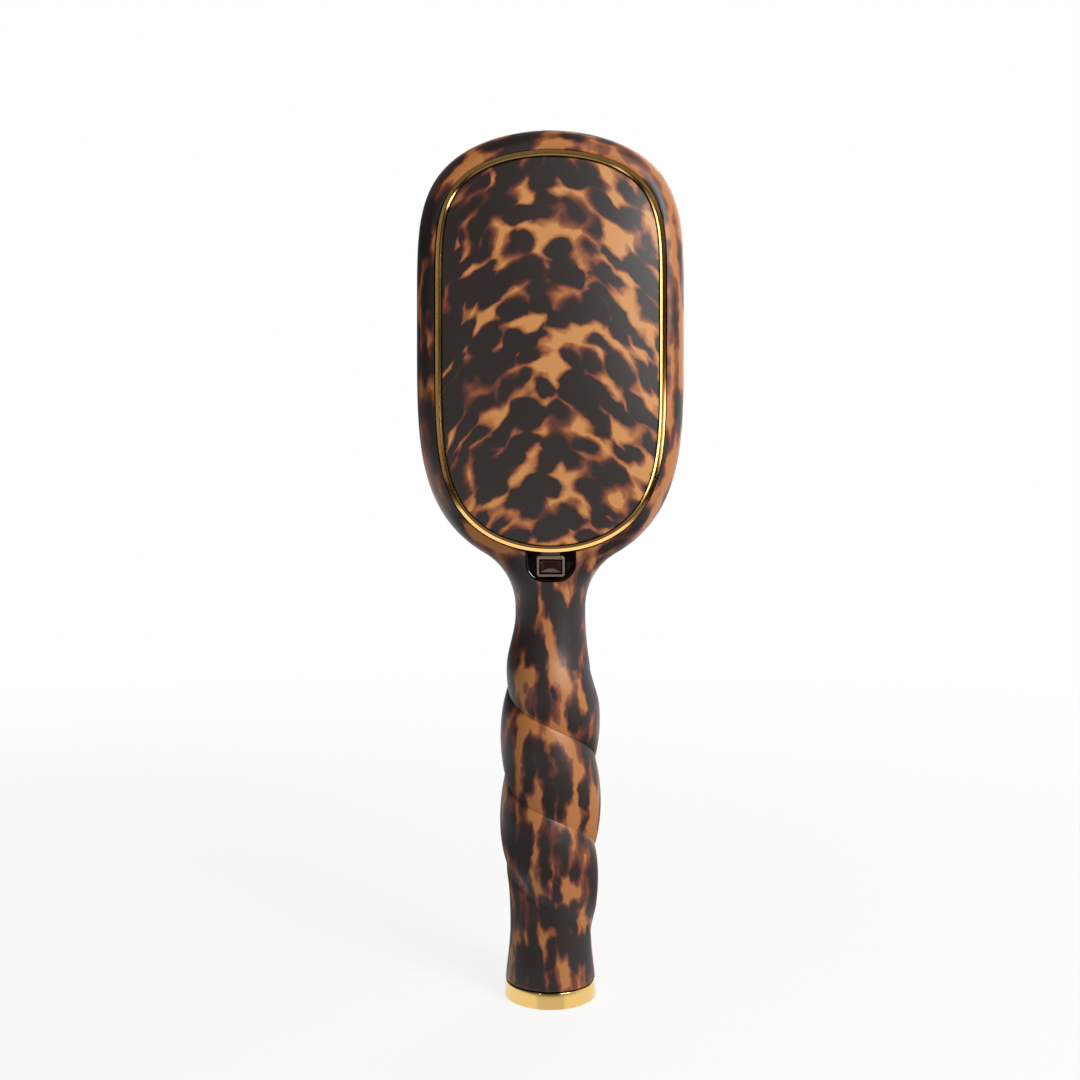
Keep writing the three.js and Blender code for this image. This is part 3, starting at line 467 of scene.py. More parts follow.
def neck_join():
    """Where the neck's fillet circle touches the head's oval, found by halving."""
    low, high = -np.pi / 2 + 1e-3, 0.0
    for _ in range(50):
        turn = (low + high) / 2
        reach = oval_point(HEAD, turn)[0] + NECK_FILLET * oval_normal(HEAD, turn)[0]
        low, high = (turn, high) if reach < NECK + NECK_FILLET else (low, turn)
    normal, touch = oval_normal(HEAD, high), oval_point(HEAD, high)
    return high, math.atan2(-normal[1], normal[0]), touch[1] + NECK_FILLET * normal[1]


JOIN_TURN, JOIN_ANGLE, JOIN_Z = neck_join()
NECK_Z = JOIN_Z - NECK_STRAIGHT


def head_surface():
    """The head: rows from the neck to the crown, columns round each row.

    A row's edge is half an ellipse square to the outline, from its back to its front. Its flat
    stretches run straight across between the two edges.
    """
    straight = np.linspace(NECK_Z, JOIN_Z, 4)[:-1]
    bend = np.linspace(0, JOIN_ANGLE, ARC_ROWS + 1)
    bend_n = np.stack([np.cos(bend), -np.sin(bend)], -1)
    bend_p = np.array([NECK + NECK_FILLET, JOIN_Z]) - NECK_FILLET * bend_n
    turn = np.linspace(JOIN_TURN, np.pi / 2, OVAL_ROWS + 1)[1:]
    p = np.concatenate([np.stack([np.full(3, NECK), straight], -1), bend_p, oval_point(HEAD, turn)])
    n = np.concatenate([np.tile([1.0, 0.0], (3, 1)), bend_n, oval_normal(HEAD, turn)])
    edge = NECK + (HEAD_EDGE - NECK) * smooth((p[:, 1] - JOIN_Z) / EDGE_BLEND)
    round_turn = np.pi * (np.linspace(0, 1, HALF_TURN + 1) - 0.5)
    out = edge[:, None] * (np.cos(round_turn) - 1)
    x = p[:, 0, None] + n[:, 0, None] * out
    z = p[:, 1, None] + n[:, 1, None] * out
    y = np.broadcast_to(NECK * np.sin(round_turn), x.shape)
    right = np.stack([x, y, z], -1)
    left = right[:, ::-1] * [-1, 1, 1]
    across = np.linspace(0, 1, FLAT_COLUMNS + 1)[None, 1:-1, None]
    front = right[:, -1:] * (1 - across) + left[:, :1] * across
    back = left[:, -1:] * (1 - across) + right[:, :1] * across
    return np.concatenate([right, front, left, back, right[:, :1]], 1)


def core_radius(z):
    """Radius under the rope: cubic curves through the named stations, level at the inner ones."""
    heights, radii = np.array([*CORE, (NECK_Z, NECK)]).T
    slopes = np.zeros(len(heights))
    slopes[0] = (radii[1] - radii[0]) / (heights[1] - heights[0])
    slopes[3] = (NECK - radii[3]) / (2 * (NECK_Z - heights[3]))
    i = np.clip(np.searchsorted(heights, z, side="left") - 1, 0, len(heights) - 2)
    span = heights[i + 1] - heights[i]
    t = np.clip((z - heights[i]) / span, 0, 1)
    return (
        (2 * t**3 - 3 * t**2 + 1) * radii[i]
        + (t**3 - 2 * t**2 + t) * slopes[i] * span
        + (3 * t**2 - 2 * t**3) * radii[i + 1]
        + (t**3 - t**2) * slopes[i + 1] * span
    )


def handle_surface(sizes):
    """The rope-twist handle, from the neck to its foot.

    A column follows a strand: its angle is c + pi (neck - z) / spacing + lean sin(angle). Its radius
    is the core's and the rope's height times |sin(c + pi/4)|^fullness, faded out at both ends.
    """
    spacing, rope = sizes.rope_spacing * 1000, sizes.rope_height * 1000
    z = np.linspace(NECK_Z, HANDLE_FOOT + FOOT_ROUND, HANDLE_ROWS + 1)[:, None]
    column = np.linspace(0, 2 * np.pi, 2 * HALF_TURN + 1)[None]
    turn = column + (NECK_Z - z) / spacing * np.pi
    lean = ROPE_LEAN * smooth((NECK_Z - z) / ROPE_TOP_FADE)
    angle = turn
    for _ in range(12):
        angle = turn + lean * np.sin(angle)
    side = np.sin(angle)
    top = smooth((NECK_Z - ROPE_TOP_SLANT * (1 + side) - z) / ROPE_TOP_FADE)
    foot = smooth((z - (ROPE_FOOT - ROPE_FOOT_SLANT * side) + ROPE_FOOT_FADE / 2) / ROPE_FOOT_FADE)
    lobe = np.abs(np.sin(column + np.pi / 4)) ** ROPE_FULLNESS
    r = core_radius(z) + rope * top * foot * lobe
    r[0] = NECK
    shell = np.stack([r * np.sin(angle), -r * np.cos(angle), np.broadcast_to(z, r.shape)], -1)
    last, radius = shell[-1] * [1, 1, 0], CORE[0][1]
    shares = [1 - FOOT_BEND / radius, 1 - FOOT_ROUND / radius, 0.5, 0.0]
    heights = [HANDLE_FOOT + FOOT_BEND, HANDLE_FOOT, HANDLE_FOOT, HANDLE_FOOT]
    closing = [last * share + [0, 0, height] for share, height in zip(shares, heights)]
    return np.concatenate([shell, np.stack(closing)])


def well_loop(grow):
    """A letter D on its back: flat above, with two round lower corners, closed and counter-clockwise."""
    half, foot, corner = WELL_WIDTH / 2 + grow, LID_FOOT - WELL_HEIGHT - grow, WELL_CORNER + grow
    left = arc((-half + corner, foot + corner), corner, 180, 270, 12)
    right = arc((half - corner, foot + corner), corner, 270, 360, 12)
    side = np.linspace(foot + corner, WELL_TOP + grow, 5)[1:]
    up = np.stack([np.full(4, half), side], -1)
    top = np.stack([np.linspace(half, -half, 7)[1:-1], np.full(5, WELL_TOP + grow)], -1)
    down = np.stack([np.full(4, -half), side[::-1]], -1)
    loop = np.concatenate([left, right, up, top, down])
    return np.concatenate([loop, loop[:1]])


WELL_MIDDLE = (0.0, LID_FOOT - WELL_HEIGHT / 2)


def hinge_pocket(middle):
    """The room for a gooseneck arm: a round mouth at the barrel over a box that joins the hollow."""
    y, z = PIVOT
    radius = BARREL + RUN_GAP
    turn = np.radians(np.linspace(*POCKET_TURNS, 24))
    mouth = np.stack([y - radius * np.cos(turn), z + radius * np.sin(turn)], -1)
    foot = z - HOOK[1] - LEAF
    under = [(HOLLOW_FLOOR, foot), (HOLLOW_FLOOR, mouth[0, 1])]
    inner = [(y - radius, mouth[-1, 1]), (y - radius, foot)]
    half = ARM_WIDTH / 2 + RUN_GAP
    return bar(np.concatenate([under, mouth, inner]), middle - half, middle + half)


def lid_seat(sizes):
    """The room behind the lid: a softened rim, the ledge that the carrier rests on, and the hollow."""
    rim = quarter_round(sizes.rim_radius * 1000)
    deep = FRAME_INSET + LEDGE_WIDTH
    mouth = [(-RUN_GAP - out, BACK + down, 0) for out, down in rim[::-1]]
    floor = [(deep + out, HOLLOW_FLOOR - down, 0) for out, down in quarter_round(HOLLOW_ROUND)]
    outside = (mouth[0][0], BACK - OVERCUT, 0)
    return closed_stack(oval_loop(LID), [outside, *mouth, (-RUN_GAP, LEDGE, 0), (deep, LEDGE, 0), *floor])


def pad_seat(sizes):
    """The room for the cushion's tray, its rim softened."""
    mouth = [(-out, FRONT - down, 0) for out, down in quarter_round(sizes.rim_radius * 1000)]
    outside = (mouth[-1][0], FRONT + OVERCUT, 0)
    return closed_stack(oval_loop(PAD), [(0, PAD_FLOOR, 0), *mouth, outside])


def body_cutters(sizes):
    """Everything that is hollowed out of the body, as closed meshes."""
    well = closed_stack(well_loop(0), [(0, BACK - OVERCUT, 0), (0, WELL_FLOOR, 0)], WELL_MIDDLE)
    recess_x, recess_z = FLANGE[0] + RUN_GAP, FLANGE[1] + RUN_GAP
    recess = box_stack([(recess_x, recess_z, CATCH_CORNER, y) for y in (BACK, RECESS_FLOOR)], CATCH_Z)
    spring = SPRING_RADIUS + RUN_GAP
    ends = (BACK, SPRING_FRONT + SEAT_GAP)
    spring_bore = box_stack([(spring, spring, spring - 1e-3, y) for y in ends], CATCH_Z)
    plug, plug_end = PLUG_RADIUS + SEAT_GAP, HANDLE_FOOT + PLUG_DEPTH
    plug_bore = lathe([(0, -OVERCUT), (plug, -OVERCUT), (plug, plug_end), (0, plug_end)], BORE_SIDES)
    cutters = [lid_seat(sizes), pad_seat(sizes), well, recess, spring_bore, plug_bore]
    reach = ARM_WIDTH / 2 + RUN_GAP + PIN_BITE
    for middle in ARM_MIDDLES:
        cutters += [hinge_pocket(middle), rod_x(PIN_BORE, middle - reach, middle + reach, *PIVOT)]
    return [sew(grid) for grid in cutters]


class HAIRBRUSH_OT_body(bpy.types.Operator):
    """Moulds the body: head, neck and rope-twist handle in one, hollowed for its pieces"""

    bl_idname = "hairbrush.body"
    bl_label = "Moulded body"

    def execute(self, context):
        sizes = context.scene.hairbrush_sizes
        data = cut(sew(head_surface(), handle_surface(sizes)), body_cutters(sizes))
        show("body_shell", data, "brush_body", "brush", "body_resin", 42)
        return {"FINISHED"}


# ------------------------------------------------------------------ lid


def lid_dome(sizes):
    """The back panel: y falls from its edge as dome (1 - (1 - s)^fall) along the share s to the middle."""
    edge = sizes.ring_width * 1000 + SEAT_GAP
    edge_y = RING_Y - PANEL_SINK * sizes.ring_height * 1000
    dome = sizes.dome_height * 1000
    soft = [(edge + out, edge_y + down, 0) for out, down in quarter_round(PANEL_ROUND)]
    shares = np.linspace(0, 1, DOME_ROWS + 1) ** DOME_CROWDING
    start = edge + PANEL_ROUND
    rise = [(start, edge_y - dome * (1 - (1 - s) ** DOME_FALL), s) for s in shares[1:]]
    return closed_stack(oval_loop(LID), [(edge, RING_Y, 0), *soft, *rise])


def ring_bead(sizes):
    """The gold ring: a broad face sloping outwards and a narrow one inwards, met by a soft ridge.

    The ridge is a quadratic curve between a point on each face, both equally far from it.
    """
    width, height = sizes.ring_width * 1000, sizes.ring_height * 1000
    corners = np.array(RING_PROFILE) * [width, -height] + [0, RING_Y]
    ridge = corners[2]
    ways = [(side - ridge) / np.linalg.norm(side - ridge) for side in (corners[1], corners[3])]
    curve = [ridge + RING_RIDGE * ((1 - t) ** 2 * ways[0] + t**2 * ways[1]) for t in np.linspace(0, 1, 7)]
    profile = [*corners[:2], *curve, *corners[3:], corners[0]]
    return stack(even_loop(LID, RING_POINTS), [(across, y, 0) for across, y in profile])


def arm_outline():
    """One gooseneck arm in the Y-Z plane: barrel, spoke and hook about the pivot, as one loop."""
    y, z = PIVOT
    inner, outer = HOOK
    start, end = np.radians(HOOK_TURNS)
    spoke = math.radians(SPOKE_TURN)

    def bend(radius, first, last, points):
        turn = np.linspace(first, last, points)
        return np.stack([y + radius * np.sin(turn), z + radius * np.cos(turn)], -1)

    def spoke_at(radius, side):
        return spoke + side * math.asin(SPOKE_HALF / radius)

    pieces = [
        bend(BARREL, spoke_at(BARREL, 1), spoke_at(BARREL, -1) + 2 * np.pi, 33),
        bend(inner, spoke_at(inner, -1), start, 8),
        bend(outer, start, end, 28),
        bend(inner, end, spoke_at(inner, 1), 20),
    ]
    return np.concatenate(pieces)


def arm_mesh(middle):
    """The arm's outline carried along X, its two ends as flat faces."""
    outline, half = arm_outline(), ARM_WIDTH / 2
    count = len(outline)
    walls = [np.column_stack([np.full(count, x), outline]) for x in (middle - half, middle + half)]
    ring = np.arange(count)
    after = np.roll(ring, -1)
    sides = np.stack([ring, after, after + count, ring + count], -1).tolist()
    data = bpy.data.meshes.new("arm")
    faces = [*sides, ring[::-1].tolist(), (ring + count).tolist()]
    data.from_pydata(np.concatenate(walls) / 1000, [], faces)
    work = bmesh.new()
    work.from_mesh(data)
    bmesh.ops.recalc_face_normals(work, faces=work.faces)
    bmesh.ops.triangulate(work, faces=[f for f in work.faces if len(f.verts) > 4])
    work.to_mesh(data)
    work.free()
    return data


def lid_carrier():
    """The plate under the panel, with rounded edges, and its two arms bored for their pins."""
    soft = quarter_round(FRAME_ROUND, 3)
    front = [(FRAME_INSET + out, FRAME_FRONT - down, 0) for out, down in soft[::-1]]
    back = [(FRAME_INSET + out, FRAME_BACK + down, 0) for out, down in soft]
    plate = sew(closed_stack(oval_loop(LID), [*front, *back]))
    leaf_top, leaf_foot = PIVOT[1] - HOOK[0] - LEAF_BITE, PIVOT[1] - HOOK[1] - LEAF
    y0, y1 = FRAME_BACK + OFF_PLANE, FRAME_FRONT - OFF_PLANE
    outline = np.array([(y0, leaf_foot), (y1, leaf_foot), (y1, leaf_top), (y0, leaf_top)])
    half, past = ARM_WIDTH / 2, ARM_WIDTH / 2 + 2 * SEAT_GAP
    leaves = [sew(bar(outline, middle - half, middle + half)) for middle in ARM_MIDDLES]
    whole = cut(plate, [*map(arm_mesh, ARM_MIDDLES), *leaves], "UNION")
    bores = [sew(rod_x(PIN_BORE, middle - past, middle + past, *PIVOT)) for middle in ARM_MIDDLES]
    return cut(whole, [sew(loop_tab(SEAT_GAP, OVERCUT)), *bores])


def loop_tab(gap, front):
    """The latch loop's tab, or its seat in the carrier, which is larger by the gap and open in front."""
    half, thick, reach = TAB
    back = FRAME_FRONT - thick - gap
    foot, top = LOOP_TOP - LOOP_TOP_BAR / 2, LID_FOOT + FRAME_INSET + reach + gap
    corners = [(back, foot), (FRAME_FRONT + front, foot), (FRAME_FRONT + front, top), (back, top)]
    return bar(np.array(corners), -half - gap, half + gap)


def latch_loop():
    """The eye under the ring: a round-cornered rectangle with soft-edged bars, and its tab."""
    back, front, soft = FRAME_BACK + LOOP_SINK, FRAME_FRONT, LOOP_ROUND

    def outer(drawn, y):
        loop_z = LOOP_TOP - LOOP[1]
        return rounded_box(LOOP[0] - drawn, LOOP[1] - drawn, LOOP_CORNER - drawn, loop_z), y

    def inner(grown, y):
        return rounded_box(WINDOW[0] + grown, WINDOW[1] + grown, WINDOW_CORNER + grown, CATCH_Z), y

    bend = quarter_round(soft, 4)
    rings = [outer(0, front - soft), *[outer(out, back + down) for out, down in bend]]
    rings += [inner(out, back + down) for out, down in bend[::-1]]
    rings += [inner(0, front - soft), inner(soft, front), outer(soft, front), rings[0]]
    eye = np.stack([np.stack([ring[:, 0], np.full(len(ring), y), ring[:, 1]], -1) for ring, y in rings])
    return cut(sew(eye), [sew(loop_tab(0, -OFF_PLANE))], "UNION")


class HAIRBRUSH_OT_lid_panel(bpy.types.Operator):
    """Moulds the lid's domed tortoiseshell panel"""

    bl_idname = "hairbrush.lid_panel"
    bl_label = "Lid panel"

    def execute(self, context):
        data = sew(lid_dome(context.scene.hairbrush_sizes))
        show("lid_dome", data, "lid_panel", "lid", "lid_resin", 50)
        return {"FINISHED"}


class HAIRBRUSH_OT_gold_ring(bpy.types.Operator):
    """Makes the gold ring round the lid's panel"""

    bl_idname = "hairbrush.gold_ring"
    bl_label = "Gold ring"

    def execute(self, context):
        data = sew(ring_bead(context.scene.hairbrush_sizes))
        show("gold_ring", data, "lid_trim_ring", "lid", "gold", 60)
        return {"FINISHED"}


class HAIRBRUSH_OT_lid_carrier(bpy.types.Operator):
    """Moulds the carrier under the panel, with its two gooseneck arms"""

    bl_idname = "hairbrush.lid_carrier"
    bl_label = "Lid carrier"

    def execute(self, context):
        show("lid_carrier", lid_carrier(), "lid_frame", "lid", "carrier", 35)
        return {"FINISHED"}


class HAIRBRUSH_OT_latch_loop(bpy.types.Operator):
    """Makes the lid's latch loop, which hangs in the well"""

    bl_idname = "hairbrush.latch_loop"
    bl_label = "Latch loop"

    def execute(self, context):
        show("latch_eye", latch_loop(), "latch_loop", "lid", "loop", 35)
        return {"FINISHED"}


# ------------------------------------------------------------------ latch


def well_liner():
    """The D-shaped tray in the well, its wall drawn to a thin lip, open towards the lid."""
    wall, floor = SEAT_GAP + LINER_WALL, WELL_FLOOR - LINER_FLOOR
    levels = [
        (SEAT_GAP, WELL_FLOOR - OFF_PLANE, 0),
        (SEAT_GAP, LINER_TOP + LINER_LIP, 0),
        (SEAT_GAP + LINER_LIP, LINER_TOP, 0),
        (SEAT_GAP + 2 * LINER_LIP, LINER_TOP + LINER_LIP / 2, 0),
        (wall, LINER_TOP + LINER_DRAFT, 0),
        (wall, floor - LINER_FILLET, 0),
        (wall + 0.3 * LINER_FILLET, floor - 0.3 * LINER_FILLET, 0),
        (wall + LINER_FILLET, floor, 0),
    ]
    tray = sew(closed_stack(well_loop(0), levels, WELL_MIDDLE))
    half, foot, top = WELL_WIDTH / 2 - wall, LID_FOOT - WELL_CORNER / 2, WELL_TOP + OVERCUT
    outside = LINER_TOP - OVERCUT
    mouth = bar(np.array([(outside, foot), (floor, foot), (floor, top), (outside, top)]), -half, half)
    ends = (floor - OVERCUT, WELL_FLOOR + OVERCUT)
    window = [(NUB[0] + RUN_GAP, NUB[1] + RUN_GAP, WINDOW_CORNER, y) for y in ends]
    return cut(tray, [sew(mouth), sew(box_stack(window, CATCH_Z))])


def catch_shape():
    """The catch as one stack of sections along Y: nub with a soft top, flange, and the spring's boss."""
    boss = SPRING_RADIUS - SPRING_WIRE - BOSS_GAP
    soft, bend = NUB_ROUND, 0.3 * NUB_ROUND
    sections = [
        (NUB[0] - soft, NUB[1] - soft, CATCH_CORNER - 0.1, NUB_TOP),
        (NUB[0] - bend, NUB[1] - bend, CATCH_CORNER - 0.05, NUB_TOP + bend),
        (*NUB, CATCH_CORNER, NUB_TOP + soft),
        (*NUB, CATCH_CORNER, FLANGE_BACK),
        (*FLANGE, CATCH_CORNER, FLANGE_BACK),
        (*FLANGE, CATCH_CORNER, FLANGE_FRONT),
        (boss, boss, boss - 1e-3, FLANGE_FRONT),
        (boss, boss, boss - 1e-3, FLANGE_FRONT + BOSS_HEIGHT),
    ]
    return box_stack(sections, CATCH_Z)


def spring_coil():
    """A round wire carried along a helix about Y: the section's circle stands square to the helix.

    The first and last stations come twice, once as the wire's edge and once as a closed end.
    """
    half = SPRING_WIRE / 2
    t = np.linspace(0, 1, SPRING_TURNS * 24 + 1)
    turn = 2 * np.pi * SPRING_TURNS * t
    radius = SPRING_RADIUS - half
    y = SPRING_BACK + half + (SPRING_LENGTH - SPRING_WIRE) * t
    centre = np.stack([radius * np.cos(turn), y, CATCH_Z + radius * np.sin(turn)], -1)
    out = np.stack([np.cos(turn), np.zeros_like(turn), np.sin(turn)], -1)
    along = np.gradient(centre, axis=0)
    along = along / np.linalg.norm(along, axis=1, keepdims=True)
    up = np.cross(along, out)
    section = np.linspace(0, 2 * np.pi, 9)[None, :, None]
    ring = np.cos(section) * out[:, None] + np.sin(section) * up[:, None]
    ends = [0, *range(len(t)), len(t) - 1]
    size = np.array([POLE, *[half] * len(t), POLE])[:, None, None]
    return centre[ends][:, None] + size * ring[ends]


class HAIRBRUSH_OT_well_liner(bpy.types.Operator):
    """Moulds the glossy liner of the well below the lid"""

    bl_idname = "hairbrush.well_liner"
    bl_label = "Well liner"

    def execute(self, context):
        show("well_liner", well_liner(), "latch_well_insert", "brush", "smoke", 35)
        return {"FINISHED"}


class HAIRBRUSH_OT_catch(bpy.types.Operator):
    """Moulds the sprung catch that stands up through the latch loop"""

    bl_idname = "hairbrush.catch"
    bl_label = "Catch"

    def execute(self, context):
        show("catch_nub", sew(catch_shape()), "catch_button", "catch", "smoke", 35)
        return {"FINISHED"}


class HAIRBRUSH_OT_catch_spring(bpy.types.Operator):
    """Winds the catch's spring, which shortens when the catch is pressed"""

    bl_idname = "hairbrush.catch_spring"
    bl_label = "Catch spring"

    def execute(self, context):
        coil = show("coil_spring", sew(spring_coil()), "catch_spring", "brush", "steel", 60)
        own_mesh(coil)
        return {"FINISHED"}


# ------------------------------------------------------------------ end cap


def cap_cup():
    """The end cap: a shallow cup with a round lower edge, a little wider below."""
    top = CORE[0][1]
    wall = top - CAP_WALL
    lower = arc((CAP_RADIUS - CAP_ROUND, CAP_ROUND), CAP_ROUND, -90, 0, 8)
    upper = arc((top - CAP_LIP, CAP_HEIGHT - CAP_LIP), CAP_LIP, 0, 90, 4)
    inner = [(wall, CAP_HEIGHT), (wall, CAP_WALL), (0, CAP_WALL)]
    return lathe([(0, 0), (CAP_FLAT, 0), *lower, *upper, *inner], CAP_SIDES)


class HAIRBRUSH_OT_end_cap(bpy.types.Operator):
    """Makes the gold end cap"""

    bl_idname = "hairbrush.end_cap"
    bl_label = "Gold end cap"

    def execute(self, context):
        show("gold_cap", sew(cap_cup()), "end_cap", "brush", "pale_gold", 50)
        return {"FINISHED"}


class HAIRBRUSH_OT_fittings(bpy.types.Operator):
    """Finishes the fittings whose frame meshes stay: the cap's plug and the two hinge pins"""

    bl_idname = "hairbrush.fittings"
    bl_label = "Plug and hinge pins"

    def execute(self, context):
        for name, kind in [("cap_plug", "black"), ("hinge_pin_left", "steel"), ("hinge_pin_right", "steel")]:
            dress(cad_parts[name].data, kind)
        return {"FINISHED"}


# ------------------------------------------------------------------ cushion and pins


def crown_y(x, z):
    """Height of the cushion's crown: its edge plus crown (1 - (x/w)^2 - (z/h)^2)."""
    h = np.where(z < HEAD_Z, PAD["down"], PAD["up"])
    return CUSHION_EDGE + CUSHION_CROWN * (1 - (x / PAD["w"]) ** 2 - ((z - HEAD_Z) / h) ** 2)


def tray_surface():
    """The tray that holds the cushion: a floor and a wall with a rounded lip."""
    outer, inner = RUN_GAP, RUN_GAP + TRAY_WALL
    lip, bend = TRAY_LIP, 0.3 * TRAY_LIP
    levels = [
        (outer, TRAY_BACK, 0),
        (outer, TRAY_TOP - lip, 0),
        (outer + bend, TRAY_TOP - bend, 0),
        (outer + lip, TRAY_TOP, 0),
        (inner - lip, TRAY_TOP, 0),
        (inner - bend, TRAY_TOP - bend, 0),
        (inner, TRAY_TOP - lip, 0),
        (inner, TRAY_FLOOR, 0),
    ]
    return closed_stack(oval_loop(PAD), levels)


def cushion_surface():
    """The rubber cushion: flange, drawn-in side, swelling shoulder and crown, in one smooth profile.

    Up the side, the wall is drawn in by a share of its greatest draw. The shoulder is a quarter
    circle that ends on the crown, and the crown closes in even shares to the middle.
    """
    side = [
        (0, CUSHION_BACK),
        (0, TRAY_TOP - 1.0),
        (0.5, TRAY_TOP + 0.6),
        (1, FRONT - 0.4),
        (0.95, FRONT + 0.25 * CUSHION_RISE),
    ]
    levels = [(PAD_GAP + share * CUSHION_DRAW, y, 0) for share, y in side]
    start = PAD_GAP + 0.55 * CUSHION_DRAW
    for turn in np.linspace(0, np.pi / 2, SHOULDER_ROWS + 1):
        drop = CUSHION_SHOULDER * (1 - math.sin(turn))
        drawn = start + CUSHION_SHOULDER * (1 - math.cos(turn))
        levels.append((drawn, lambda x, z, drop=drop: crown_y(x, z) - drop, 0))
    shares = np.linspace(0, 1, CROWN_ROWS + 1)
    levels += [(start + CUSHION_SHOULDER, crown_y, share) for share in shares[1:]]
    return closed_stack(oval_loop(PAD), levels)


def skin_oval(margin):
    """The oval inside the cushion's edge that the pins may stand on."""
    drawn = PAD_GAP + SKIN_INSET + margin
    return {**PAD, "w": PAD["w"] - drawn, "up": PAD["up"] - drawn, "down": PAD["down"] - drawn}


def pin_places():
    """The pins' places, row by row: staggered rows, each as wide as the oval is there."""
    skin, field = skin_oval(0), skin_oval(PIN_MARGIN)
    span = field["up"] + field["down"]
    rows = int(span // ROW_PITCH) + 1
    first = HEAD_Z - field["down"] + (span - (rows - 1) * ROW_PITCH) / 2
    clear = PIN_MARGIN / 8

    def line(row):
        z = first + (row - 0.5) * ROW_PITCH
        return min(max(z, HEAD_Z - skin["down"] + clear), HEAD_Z + skin["up"] - clear)

    places = []
    for row in range(rows):
        z = first + row * ROW_PITCH
        skin_half = (oval_half(skin, line(row)) + oval_half(skin, line(row + 1))) / 2
        half = min(float(oval_half(field, z)), float(skin_half) - 2 * PIN_BASE)
        shift = 0 if row % 2 == 0 else 0.5
        n = np.arange(-math.ceil(half / PIN_PITCH) - shift, half / PIN_PITCH + 1e-9)
        x = n[np.abs(n * PIN_PITCH) <= half] * PIN_PITCH
        places.append(np.stack([x, np.full(len(x), z)], -1))
    return places


def pin_grid(places, sizes):
    """Ball-tipped pins square to the crown: one (radius, height) profile turned about each axis."""
    x, z = places.T
    step = 0.05
    slope_x = (crown_y(x + step, z) - crown_y(x - step, z)) / (2 * step)
    slope_z = (crown_y(x, z + step) - crown_y(x, z - step)) / (2 * step)
    axis = np.stack([-slope_x, np.ones_like(x), -slope_z], -1)
    axis /= np.linalg.norm(axis, axis=1, keepdims=True)
    side = np.cross(axis, [0.0, 0.0, 1.0])
    side /= np.linalg.norm(side, axis=1, keepdims=True)
    other = np.cross(axis, side)
    shaft, ball = sizes.pin_radius * 1000, sizes.ball_radius * 1000
    top = PIN_LENGTH - ball
    profile = [
        (POLE, -PIN_SINK),
        (COLLAR_RADIUS + 0.05, -PIN_SINK),
        (COLLAR_RADIUS, 0.05),
        (1.35 * shaft, COLLAR_HEIGHT),
        (0.9 * shaft, top - 0.75 * ball),
        *[(ball * math.cos(turn) + POLE, top + ball * math.sin(turn)) for turn in BALL_TURNS],
    ]
    r, h = np.array(profile).T
    turn = np.linspace(0, 2 * np.pi, PIN_SIDES + 1)
    centre = np.stack([x, crown_y(x, z), z], -1)
    ring = np.cos(turn)[:, None] * side[:, None, :] + np.sin(turn)[:, None] * other[:, None, :]
    return centre[:, None, None] + h[:, None, None] * axis[:, None, None] + r[:, None, None] * ring[:, None]


class HAIRBRUSH_OT_tray(bpy.types.Operator):
    """Moulds the tray that holds the cushion"""

    bl_idname = "hairbrush.tray"
    bl_label = "Cushion tray"

    def execute(self, context):
        show("cushion_tray", sew(tray_surface()), "pad_base", "brush", "black", 40)
        return {"FINISHED"}


class HAIRBRUSH_OT_cushion(bpy.types.Operator):
    """Moulds the rubber cushion"""

    bl_idname = "hairbrush.cushion"
    bl_label = "Cushion"

    def execute(self, context):
        pad = show("rubber_cushion", sew(cushion_surface()), "cushion", "brush", "rubber", 60)
        return {"FINISHED"}


class HAIRBRUSH_OT_pins(bpy.types.Operator):
    """Sets the nylon pins into the cushion, in four groups of rows"""

    bl_idname = "hairbrush.pins"
    bl_label = "Nylon pins"

    def execute(self, context):
        rows = pin_places()
        sizes = context.scene.hairbrush_sizes
        for group in range(SLICES):
            first, last = (round(g * len(rows) / SLICES) for g in (group, group + 1))
            data = sew(*pin_grid(np.concatenate(rows[first:last]), sizes))
            show(f"pin_rows_{group + 1}", data, f"pins_{group + 1}", "brush", "nylon", 60)
        return {"FINISHED"}


# ------------------------------------------------------------------ materials
# Patterns lie in the object's own coordinates, in millimetres on the brush.

HANDLE_CLOUD = (3.8, 3.8, 17.0)  # width, depth and height of a dark cloud on the handle
RIM_CLOUD, RIM_DEPTH = 4.5, 6.0  # its width across the head's rim, and through its thickness
RIM_COUNT = 3.6  # clouds to each radian round the rim
RIM_MIDDLE, RIM_HALF = 179.0, (37.2, 61.0)  # height of the rim's middle, and its half sizes
RIM_STARTS = (0.72, 0.84)  # shares of the half sizes between which the rim's clouds set in
HEAD_STARTS = (112.0, 130.0)  # heights between which the handle's clouds give way to the rim's
RIM_CLEARER = 0.125  # added to the clearness round the rim
HANDLE_CLEARER = (80.0, 25.0, 0.03, 0.04)  # added above the first height, and below the second
LID_CLOUD, LID_BEND = (7.6, 6.0), 0.022  # width and height of a cloud on the lid; curve of its rows
BODY_CLEARS, LID_CLEARS = 0.0024, 0.0042  # added for each millimetre to the right
STREAKS, LID_STREAKS = (2.6, 0.42), (1.6, 0.55)  # how much finer than the clouds, how strong
BEND = 11.0  # width of the bends in the clouds' outlines
WISP, WISP_REACH = 2.6, 1.3  # width of the finer bends, and how far they stray
HAZE, HAZE_DEPTH = 9.524, 0.23  # width of the patches with more or less dye, and their strength
DRIFT = 12.5  # width of the parts whose outlines are soft
RESIN_GRAIN = 0.2  # coarser than the real grain, so that it shows
PLATE_CLOUD, PLASTIC_CLOUD = 6.667, 5.0
WIRE_MARK = 0.25
ACRYLIC_IOR, RUBBER_IOR, NYLON_IOR = 1.49, 1.52, 1.53

